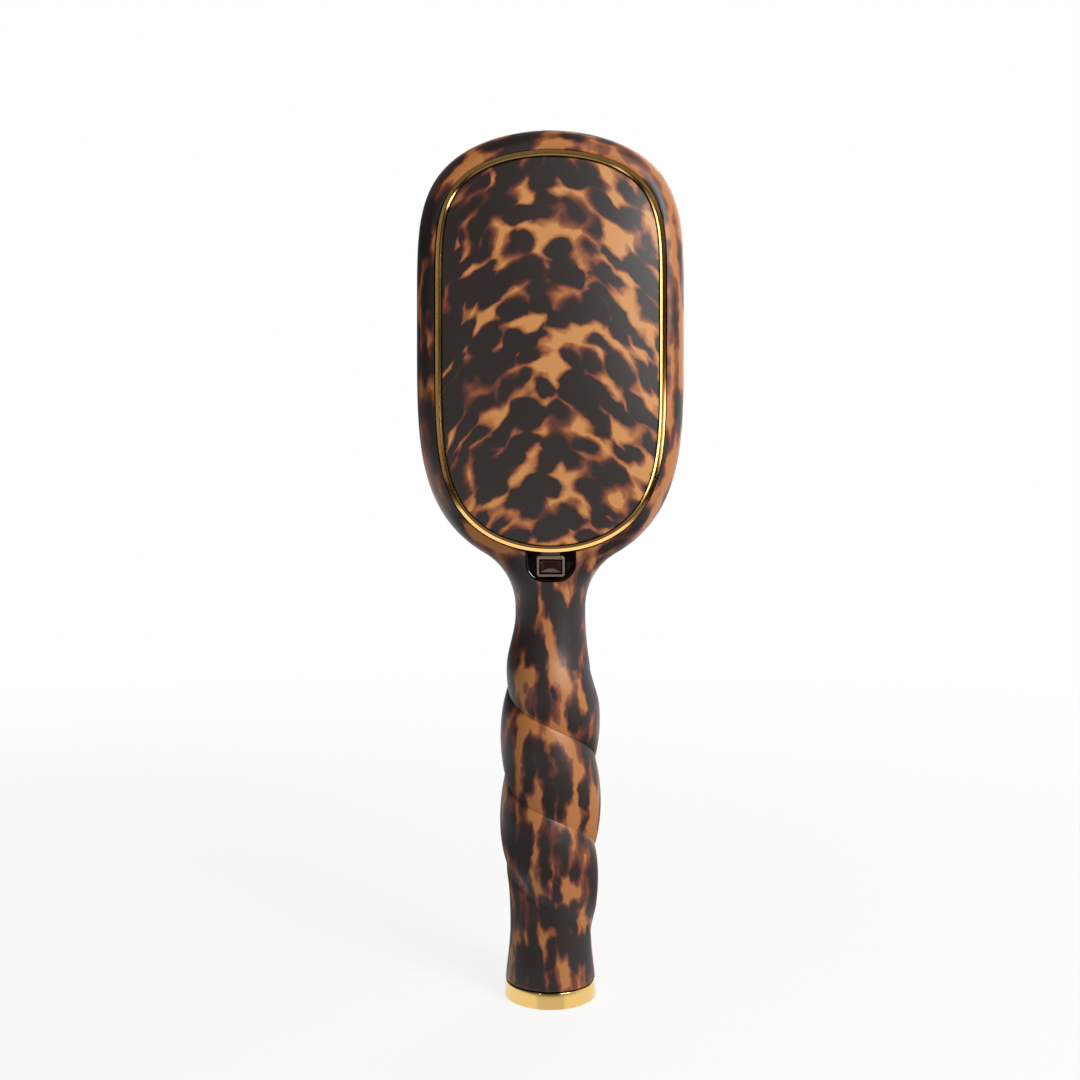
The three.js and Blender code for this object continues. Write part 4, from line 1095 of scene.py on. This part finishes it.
# The clearness at which the resin turns dark, how far the outlines stray, and how far above or
# below it the tones lie, from dark to light, where an outline is crisp and where it is soft.
BODY_DYE = (0.868, 2.6, (-0.095, -0.018, 0.07, 0.2), (-0.22, -0.04, 0.14, 0.4))
LID_DYE = (0.797, 7.0, (-0.065, -0.014, 0.045, 0.125, 0.44), (-0.2, -0.03, 0.11, 0.26, 0.5))


def put(tree, kind, sockets=None, stops=None, **settings):
    """Adds a node and returns its outputs. A socket given an output is linked to it, and otherwise set."""
    node = tree.nodes.new("ShaderNode" + kind)
    for key, value in settings.items():
        setattr(node, key, value)
    for key, value in (sockets or {}).items():
        if isinstance(value, bpy.types.NodeSocket):
            tree.links.new(value, node.inputs[key])
        else:
            node.inputs[key].default_value = value
    if stops:
        ramp = node.color_ramp
        while len(ramp.elements) < len(stops):
            ramp.elements.new(0.5)
        for element, (place, value) in zip(ramp.elements, stops):
            element.position = place
            element.color = (*value, 1)
    return node.outputs


def empty_tree(owner):
    """The node tree of a material or world, with nothing in it."""
    owner.use_nodes = True
    owner.node_tree.nodes.clear()
    return owner.node_tree


def new_material(name):
    """A node material, its tree, and the object's own coordinates in millimetres."""
    made = bpy.data.materials.new(name)
    tree = empty_tree(made)
    place = put(tree, "TexCoord")["Object"]
    point = put(tree, "VectorMath", {0: place, "Scale": 1000}, operation="SCALE")[0]
    return made, tree, point


def close_material(tree, **sockets):
    """A Principled surface with these sockets, joined to the output."""
    sockets = {key.replace("_", " "): value for key, value in sockets.items()}
    surface = put(tree, "BsdfPrincipled", sockets)
    put(tree, "OutputMaterial", {"Surface": surface[0]})


def chain(tree, operation, first, *rest):
    """Math nodes in a row: the operation between the first value and each of the others."""
    for value in rest:
        first = put(tree, "Math", {0: first, 1: value}, operation=operation)[0]
    return first


def ease(tree, value, start, end, low=0.0, high=1.0):
    """A smooth step from low to high while the value goes from start to end."""
    span = {"From Min": start, "From Max": end, "To Min": low, "To Max": high}
    return put(tree, "MapRange", {"Value": value, **span}, interpolation_type="SMOOTHSTEP")[0]


def clouds(tree, place, kind="3D"):
    """Clearness: low in round clouds of dark dye, as the distance to the nearest cloud's centre."""
    sockets = {"Vector": place, "Scale": 1, "Smoothness": 0.22, "Randomness": 0.92}
    return put(tree, "TexVoronoi", sockets, feature="SMOOTH_F1", voronoi_dimensions=kind)["Distance"]


def streaked(tree, clear, place, finer, strength):
    """The clearness with streaks laid over it, so many times finer than its clouds."""
    thin = put(tree, "TexNoise", {"Vector": place, "Scale": finer, "Detail": 2})[0]
    return put(tree, "Math", {0: thin, 1: strength, 2: clear}, operation="MULTIPLY_ADD")[0]


def clearing(tree, clear, x, rate):
    """The clearness, rising to the right by the given rate for each millimetre."""
    return put(tree, "Math", {0: x, 1: rate, 2: clear}, operation="MULTIPLY_ADD")[0]


def body_flow(tree, point):
    """The body's clearness: clouds drawn out up the handle, and along the head's rim.

    Round the rim, the clouds lie in the direction from its middle and in the share of the way
    out, (|x / half width|^3 + |z / half height|^3)^(1/3), which is 1 near the head's edge.
    """
    xyz = put(tree, "SeparateXYZ", {0: point})
    finer = tuple(1 / size for size in HANDLE_CLOUD)
    handle = put(tree, "VectorMath", {0: point, 1: finer}, operation="MULTIPLY")[0]
    up = streaked(tree, clouds(tree, handle), handle, *STREAKS)
    up = chain(tree, "ADD", up, ease(tree, xyz[2], *HANDLE_CLEARER))
    across = chain(tree, "DIVIDE", xyz[0], RIM_HALF[0])
    over = chain(tree, "DIVIDE", chain(tree, "SUBTRACT", xyz[2], RIM_MIDDLE), RIM_HALF[1])
    cubes = []
    for part in (across, over):
        size = put(tree, "Math", {0: part}, operation="ABSOLUTE")[0]
        cubes.append(chain(tree, "POWER", size, 3))
    away = chain(tree, "POWER", chain(tree, "ADD", *cubes), 1 / 3)
    far = chain(tree, "MULTIPLY", away, RIM_HALF[0] / RIM_CLOUD)
    flat = put(tree, "CombineXYZ", {0: across, 1: over})[0]
    unit = put(tree, "VectorMath", {0: flat}, operation="NORMALIZE")[0]
    unit = put(tree, "SeparateXYZ", {0: unit})
    around = [chain(tree, "MULTIPLY", unit[axis], RIM_COUNT) for axis in (0, 1)]
    section = chain(tree, "ADD", chain(tree, "DIVIDE", xyz[1], RIM_DEPTH), far)
    ring = put(tree, "CombineXYZ", {0: around[0], 1: around[1], 2: section})[0]
    along = chain(tree, "ADD", streaked(tree, clouds(tree, ring), ring, *STREAKS), RIM_CLEARER)
    rim = chain(tree, "MULTIPLY", ease(tree, xyz[2], *HEAD_STARTS), ease(tree, away, *RIM_STARTS))
    clear = put(tree, "Mix", {"Factor": rim, "A": up, "B": along}, data_type="FLOAT")[0]
    return clearing(tree, clear, xyz[0], BODY_CLEARS)


def lid_flow(tree, point):
    """The lid's clearness: clouds in loose rows that bend down to both sides, as z + bend x^2."""
    xyz = put(tree, "SeparateXYZ", {0: point})
    bend = chain(tree, "MULTIPLY", xyz[0], xyz[0], LID_BEND)
    row = chain(tree, "DIVIDE", chain(tree, "ADD", bend, xyz[2]), LID_CLOUD[1])
    across = chain(tree, "DIVIDE", xyz[0], LID_CLOUD[0])
    place = put(tree, "CombineXYZ", {0: across, 1: row})[0]
    clear = streaked(tree, clouds(tree, place, "2D"), place, *LID_STREAKS)
    return clearing(tree, clear, xyz[0], LID_CLEARS)


def tortoiseshell(name, flow, dark, reach, crisp_steps, soft_steps):
    """Mottled acetate, moulded and satin-polished: clear amber with round clouds of dark dye.

    The eye sees light patches with reddish edges, crisp in places and soft in others. Noise of
    two sizes makes the outlines stray, and a wide haze varies the patches' size.
    """
    made, tree, point = new_material(name)
    tones = bpy.context.scene.hairbrush_colours
    moved = point
    for size, stray in ((BEND, reach), (WISP, WISP_REACH)):
        wander = put(tree, "TexNoise", {"Vector": point, "Scale": 1 / size, "Detail": 1})[1]
        shift = put(tree, "VectorMath", {0: wander, 1: (0.5, 0.5, 0.5)}, operation="SUBTRACT")[0]
        shift = put(tree, "VectorMath", {0: shift, "Scale": stray}, operation="SCALE")[0]
        moved = put(tree, "VectorMath", {0: moved, 1: shift}, operation="ADD")[0]
    haze = put(tree, "TexNoise", {"Vector": point, "Scale": 1 / HAZE, "Detail": 1})[0]
    span = {"From Min": 0.3, "From Max": 0.7, "To Min": -HAZE_DEPTH, "To Max": HAZE_DEPTH}
    thin = put(tree, "MapRange", {"Value": haze, **span})[0]
    clear = chain(tree, "ADD", flow(tree, moved), thin)
    tints = (tones.umber, tones.ember, tones.honey, tones.amber, tones.straw)
    crisp, soft = (
        put(tree, "ValToRGB", {0: clear}, [(dark + step, tint) for step, tint in zip(steps, tints)])
        for steps in (crisp_steps, soft_steps)
    )
    drift = put(tree, "TexNoise", {"Vector": point, "Scale": 1 / DRIFT, "Detail": 1})[0]
    sides = {"Factor": ease(tree, drift, 0.46, 0.64), "A": crisp[0], "B": soft[0]}
    resin = put(tree, "Mix", sides, data_type="RGBA")["Result"]
    grain = put(tree, "TexNoise", {"Vector": point, "Scale": 1 / RESIN_GRAIN, "Detail": 3})[0]
    rough = put(tree, "MapRange", {"Value": grain, "To Min": 0.42, "To Max": 0.5})[0]
    relief = put(tree, "Bump", {"Strength": 0.06, "Distance": 0.0001, "Height": grain})[0]
    close_material(tree, Base_Color=resin, Roughness=rough, IOR=ACRYLIC_IOR, Normal=relief)
    return made


def gold_plate(name, tone):
    """Gold plate on polished metal: a mirror, very slightly clouded, so its glints have soft edges."""
    made, tree, point = new_material(name)
    cloud = put(tree, "TexNoise", {"Vector": point, "Scale": 1 / PLATE_CLOUD, "Detail": 0})[0]
    rough = put(tree, "MapRange", {"Value": cloud, "To Min": 0.08, "To Max": 0.11})[0]
    lacquer = {"Coat_Weight": 0.5, "Coat_Roughness": 0.08}
    close_material(tree, Base_Color=(*tone, 1), Metallic=1.0, Roughness=rough, **lacquer)
    return made


def plain_plastic(name, tone, roughness, grain, ior=ACRYLIC_IOR, bump=0.08, coat=0.0):
    """A moulded plastic or rubber of one colour, clouded a little, with the mould's spark-eroded grain.

    The grain's size is in millimetres, coarser than the real one so that it shows.
    """
    made, tree, point = new_material(name)
    cloud = put(tree, "TexNoise", {"Vector": point, "Scale": 1 / PLASTIC_CLOUD, "Detail": 3})[0]
    low, high = (tuple(min(share * part, 1) for part in tone) for share in (0.8, 1.2))
    tint = put(tree, "ValToRGB", {0: cloud}, [(0.3, low), (0.7, high)])[0]
    pits = put(tree, "TexNoise", {"Vector": point, "Scale": 1 / grain, "Detail": 2})[0]
    relief = put(tree, "Bump", {"Strength": bump, "Distance": 0.0002, "Height": pits})[0]
    skin = {"Coat_Weight": coat, "Coat_Roughness": 0.05, "Normal": relief}
    close_material(tree, Base_Color=tint, Roughness=roughness, IOR=ior, **skin)
    return made


def steel_wire():
    """Spring steel, drawn bright: fine marks in the wire break its shine."""
    made, tree, point = new_material("drawn_spring_steel")
    marks = put(tree, "TexNoise", {"Vector": point, "Scale": 1 / WIRE_MARK, "Detail": 2})[0]
    rough = put(tree, "MapRange", {"Value": marks, "To Min": 0.22, "To Max": 0.4})[0]
    close_material(tree, Base_Color=(*hex_rgb("B9BBBD"), 1), Metallic=1.0, Roughness=rough)
    return made


FINISHES = {}


def finish(kind):
    """The finish of that kind, made once."""
    tones = bpy.context.scene.hairbrush_colours
    makers = {
        # Satin resin whose dark clouds run up the handle and round the rim.
        "body_resin": lambda: tortoiseshell("mottled_acetate_body", body_flow, *BODY_DYE),
        # The same resin in rows of lighter patches, with wide bends in their outlines.
        "lid_resin": lambda: tortoiseshell("mottled_acetate_lid", lid_flow, *LID_DYE),
        # A warm mirror for the ring, and a yellower one for the cap.
        "gold": lambda: gold_plate("polished_gold_plate", tones.gold),
        "pale_gold": lambda: gold_plate("polished_pale_gold_plate", tones.pale_gold),
        # Nearly black and glossy, so the well shows bright glints in its corners.
        "smoke": lambda: plain_plastic("tinted_gloss_acrylic", tones.smoke, 0.12, 2.0, coat=0.5, bump=0.02),
        # Dark and dull, as a part that is seldom seen.
        "carrier": lambda: plain_plastic("moulded_dark_abs", tones.smoke, 0.4, 0.5),
        # Greyish brown, paler than all round it: partly the plastic's own tone, and partly a painted
        # highlight for the light that catches the bars' faces.
        "loop": lambda: plain_plastic("moulded_taupe_abs", hex_rgb("6E5C50"), 0.3, 0.8),
        # Plain black with a fine grain.
        "black": lambda: plain_plastic("moulded_black_abs", hex_rgb("1B1716"), 0.5, 0.4),
        # Dull, with a grain that takes the light's edge off.
        "rubber": lambda: plain_plastic("moulded_natural_rubber", tones.rubber, 0.62, 0.5, RUBBER_IOR, 0.15),
        # Smooth, with a small highlight on each pin and ball.
        "nylon": lambda: plain_plastic("moulded_nylon", tones.nylon, 0.32, 0.8, NYLON_IOR, 0.02),
        # Bright, with a broken shine.
        "steel": steel_wire,
    }
    if kind not in FINISHES:
        FINISHES[kind] = makers[kind]()
    return FINISHES[kind]


# ------------------------------------------------------------------ stage
# The brush stands on its cap. Places and distances are in metres.

# Each lamp's name, place, aim, width and height, and the setting that holds its power.
LAMPS = [
    ("key_lamp", (0.53, -0.6, 0.6), (0, 0, 0.15), (0.36, 0.36), "key_power"),
    ("side_strip", (-0.59, -1.15, 0.37), (0, 0, 0.19), (0.06, 0.5), "fill_power"),
    ("corner_lamp", (0.53, -1.15, 0.235), (0, 0, 0.19), (0.07, 0.16), "corner_power"),
    ("rear_lamp", (0.25, 0.75, 0.5), (0, 0, 0.14), (0.6, 0.6), "rear_power"),
]
CAMERA = (-0.0029, -0.335, 0.1264)
LENS, SENSOR, CLIP_START = 40, 36, 0.01
FLOOR_RADIUS = 4.0
PAPER_GLOW = {"From Min": 0.1, "From Max": 0.8, "To Min": 0.84}  # its own light's share, with distance

# What the gilt mirrors: values between which a part comes up or goes, and its lowest and highest
# brightness or its strength. Those of the floor are distances from the brush, unless they say x.
CAP_EDGE = -0.0065  # how far in front of the brush's middle the cap's flanks meet the floor
FLANKS = (0.5, 0.8, 0.85, 1.15)  # x for each metre in front
CAP_GLOW = (0.09, 0.03)
RING_NEAR, RING_FAR, RING_GLOW = (0.22, 0.3), (1.2, 1.0), 1.6
RING_ENDS, RING_LEFT = (0.75, 0.68), (-0.12, -0.2)  # RING_LEFT is x
TOP_NEAR, TOP_FAR, TOP_GLOW = (0.62, 0.7), (1.5, 1.2), 0.25
BEHIND = (0.0, 0.4)  # metres behind the brush
WHITE_SIDE, WHITE_STARTS = (0.87, 0.5, 0), (-0.1, 0.75)  # direction of the room's white side
ABOVE, ABOVE_ENDS = (0.2, 0.5, 0.0, 0.2), (0.85, 0.7)  # z of the direction
LEFT, LEFT_ENDS = (-0.2, -0.34, 0.0, 0.26), (-0.65, -0.5)  # x of the direction


def lamp(name, place, aim, size, watts):
    """An area lamp of a width and height, at a place and turned to its aim."""
    data = bpy.data.lights.new(name, "AREA")
    data.shape = "RECTANGLE"
    data.size, data.size_y = size
    data.energy = watts
    made = add_object(name, data)
    made.location = place
    away = made.location - Vector(aim)
    made.rotation_euler = away.to_track_quat("Z", "Y").to_euler()
    made.visible_camera = False


def seen(tree):
    """1 for a ray from the camera, or one that a mirror or glass sends on."""
    rays = put(tree, "LightPath")
    kinds = ("Is Camera Ray", "Is Glossy Ray", "Is Transmission Ray")
    return chain(tree, "MAXIMUM", *[rays[kind] for kind in kinds])


def mirrored(tree, plain, level):
    """The plain level, and another for what a mirror shows."""
    glossy = put(tree, "LightPath")["Is Glossy Ray"]
    return put(tree, "Mix", {"Factor": glossy, "A": plain, "B": level}, data_type="FLOAT")[0]


def floor_glow(tree, place, far, front):
    """How bright the gilt sees the floor: white behind the brush, and dark in front but for three parts.

    The nearest lights the cap, its flanks more than its middle. The next lights the ring's foot
    and lower left, and the last, faintly, its top.
    """
    x, y, _ = put(tree, "SeparateXYZ", {0: place})
    ahead = chain(tree, "MAXIMUM", chain(tree, "SUBTRACT", CAP_EDGE, y), 0.001)
    aside = put(tree, "Math", {0: x}, operation="ABSOLUTE")[0]
    flank = ease(tree, chain(tree, "DIVIDE", aside, ahead), *FLANKS)
    cap = chain(tree, "MULTIPLY", ease(tree, far, *CAP_GLOW), flank)
    side = chain(tree, "MAXIMUM", ease(tree, far, *RING_ENDS), ease(tree, x, *RING_LEFT))
    span = (ease(tree, far, *RING_NEAR), ease(tree, far, *RING_FAR))
    foot = chain(tree, "MULTIPLY", side, *span, RING_GLOW)
    top = chain(tree, "MULTIPLY", ease(tree, far, *TOP_NEAR), ease(tree, far, *TOP_FAR), TOP_GLOW)
    return chain(tree, "MAXIMUM", cap, foot, top, ease(tree, y, *BEHIND), front)


def make_floor(settings):
    """A wide disc of matt white paper. It glows by itself to the camera, so it looks white throughout."""
    turn = np.linspace(0, 2 * np.pi, 65)
    disc = np.stack([np.outer([0, 1000 * FLOOR_RADIUS], f(turn)) for f in (np.cos, np.sin)], -1)
    data = sew(np.concatenate([disc, np.zeros((*disc.shape[:2], 1))], -1))
    floor = add_object("floor", data)
    made = bpy.data.materials.new("matt_white_paper")
    tree = empty_tree(made)
    place = put(tree, "TexCoord")["Object"]
    far = put(tree, "VectorMath", {0: place}, operation="LENGTH")["Value"]
    level = mirrored(tree, 1.0, floor_glow(tree, place, far, settings.front))
    light = put(tree, "Emission", {"Color": (1, 1, 1, 1), "Strength": level})[0]
    paper = put(tree, "BsdfDiffuse", {"Color": (*settings.floor, 1)})[0]
    own = put(tree, "MapRange", {"Value": far, **PAPER_GLOW})[0]
    own = chain(tree, "MULTIPLY", seen(tree), own)
    mixed = put(tree, "MixShader", {0: own, 1: paper, 2: light})
    put(tree, "OutputMaterial", {"Surface": mixed[0]})
    data.materials.append(made)
    floor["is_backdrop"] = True


def make_world(settings):
    """A white room, faint as a light. The gilt sees it dark in front, with pale parts above and left."""
    world = bpy.data.worlds.new("white_room")
    bpy.context.scene.world = world
    tree = empty_tree(world)
    ray = put(tree, "TexCoord")["Generated"]
    side = put(tree, "VectorMath", {0: ray, 1: WHITE_SIDE}, operation="DOT_PRODUCT")["Value"]
    x, _, z = put(tree, "SeparateXYZ", {0: ray})
    above = chain(tree, "MULTIPLY", ease(tree, z, *ABOVE), ease(tree, z, *ABOVE_ENDS))
    left = chain(tree, "MULTIPLY", ease(tree, x, *LEFT), ease(tree, x, *LEFT_ENDS))
    dim = chain(tree, "MAXIMUM", ease(tree, side, *WHITE_STARTS, settings.front), above, left)
    levels = {"Factor": seen(tree), "A": settings.ambient, "B": mirrored(tree, 1.0, dim)}
    bright = put(tree, "Mix", levels, data_type="FLOAT")[0]
    room = put(tree, "Background", {"Color": (1, 1, 1, 1), "Strength": bright})
    put(tree, "OutputWorld", {"Surface": room[0]})


def make_camera():
    """The camera, level and square on to the lid."""
    data = bpy.data.cameras.new("camera")
    data.sensor_width = SENSOR
    data.lens = LENS
    data.clip_start = CLIP_START
    made = add_object("camera", data)
    made.location = CAMERA
    made.rotation_euler = (math.pi / 2, 0, 0)
    bpy.context.scene.camera = made


class HAIRBRUSH_OT_stage(bpy.types.Operator):
    """Sets the white floor, the soft lamps and the camera"""

    bl_idname = "hairbrush.stage"
    bl_label = "Stage"

    def execute(self, context):
        settings = context.scene.hairbrush_stage
        make_floor(settings)
        make_world(settings)
        for name, place, aim, size, setting in LAMPS:
            lamp(name, place, aim, size, getattr(settings, setting))
        make_camera()
        context.scene.view_settings.view_transform = "Standard"
        return {"FINISHED"}


# ------------------------------------------------------------------ add-on

STEPS = [
    HAIRBRUSH_OT_stage,
    HAIRBRUSH_OT_body,
    HAIRBRUSH_OT_lid_panel,
    HAIRBRUSH_OT_gold_ring,
    HAIRBRUSH_OT_lid_carrier,
    HAIRBRUSH_OT_latch_loop,
    HAIRBRUSH_OT_well_liner,
    HAIRBRUSH_OT_catch,
    HAIRBRUSH_OT_catch_spring,
    HAIRBRUSH_OT_end_cap,
    HAIRBRUSH_OT_fittings,
    HAIRBRUSH_OT_tray,
    HAIRBRUSH_OT_cushion,
    HAIRBRUSH_OT_pins,
]
GROUPS = {
    "hairbrush_sizes": HairbrushSizes,
    "hairbrush_colours": HairbrushColours,
    "hairbrush_stage": HairbrushStage,
}


class HAIRBRUSH_PT_panel(bpy.types.Panel):
    """Lists the hairbrush's settings and steps"""

    bl_idname = "HAIRBRUSH_PT_panel"
    bl_label = "Vanity hairbrush"
    bl_space_type = "VIEW_3D"
    bl_region_type = "UI"
    bl_category = "Hairbrush"

    def draw(self, context):
        for name, group in GROUPS.items():
            box = self.layout.box()
            for key in group.__annotations__:
                box.prop(getattr(context.scene, name), key)
        for step in STEPS:
            self.layout.operator(step.bl_idname)


def register():
    for group in GROUPS.values():
        bpy.utils.register_class(group)
    for name, group in GROUPS.items():
        setattr(bpy.types.Scene, name, bpy.props.PointerProperty(type=group))
    for step in [*STEPS, HAIRBRUSH_PT_panel]:
        bpy.utils.register_class(step)


def unregister():
    for step in [HAIRBRUSH_PT_panel, *reversed(STEPS)]:
        bpy.utils.unregister_class(step)
    for name, group in GROUPS.items():
        delattr(bpy.types.Scene, name)
        bpy.utils.unregister_class(group)


def main():
    register()
    for step in STEPS:
        area, name = step.bl_idname.split(".")
        getattr(getattr(bpy.ops, area), name)()
    boxes = {"cad": CAD_BOX, "visual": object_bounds()}
    {name: [list(corner) for corner in box] for name, box in boxes.items()}


if __name__ == "__main__":
    main()
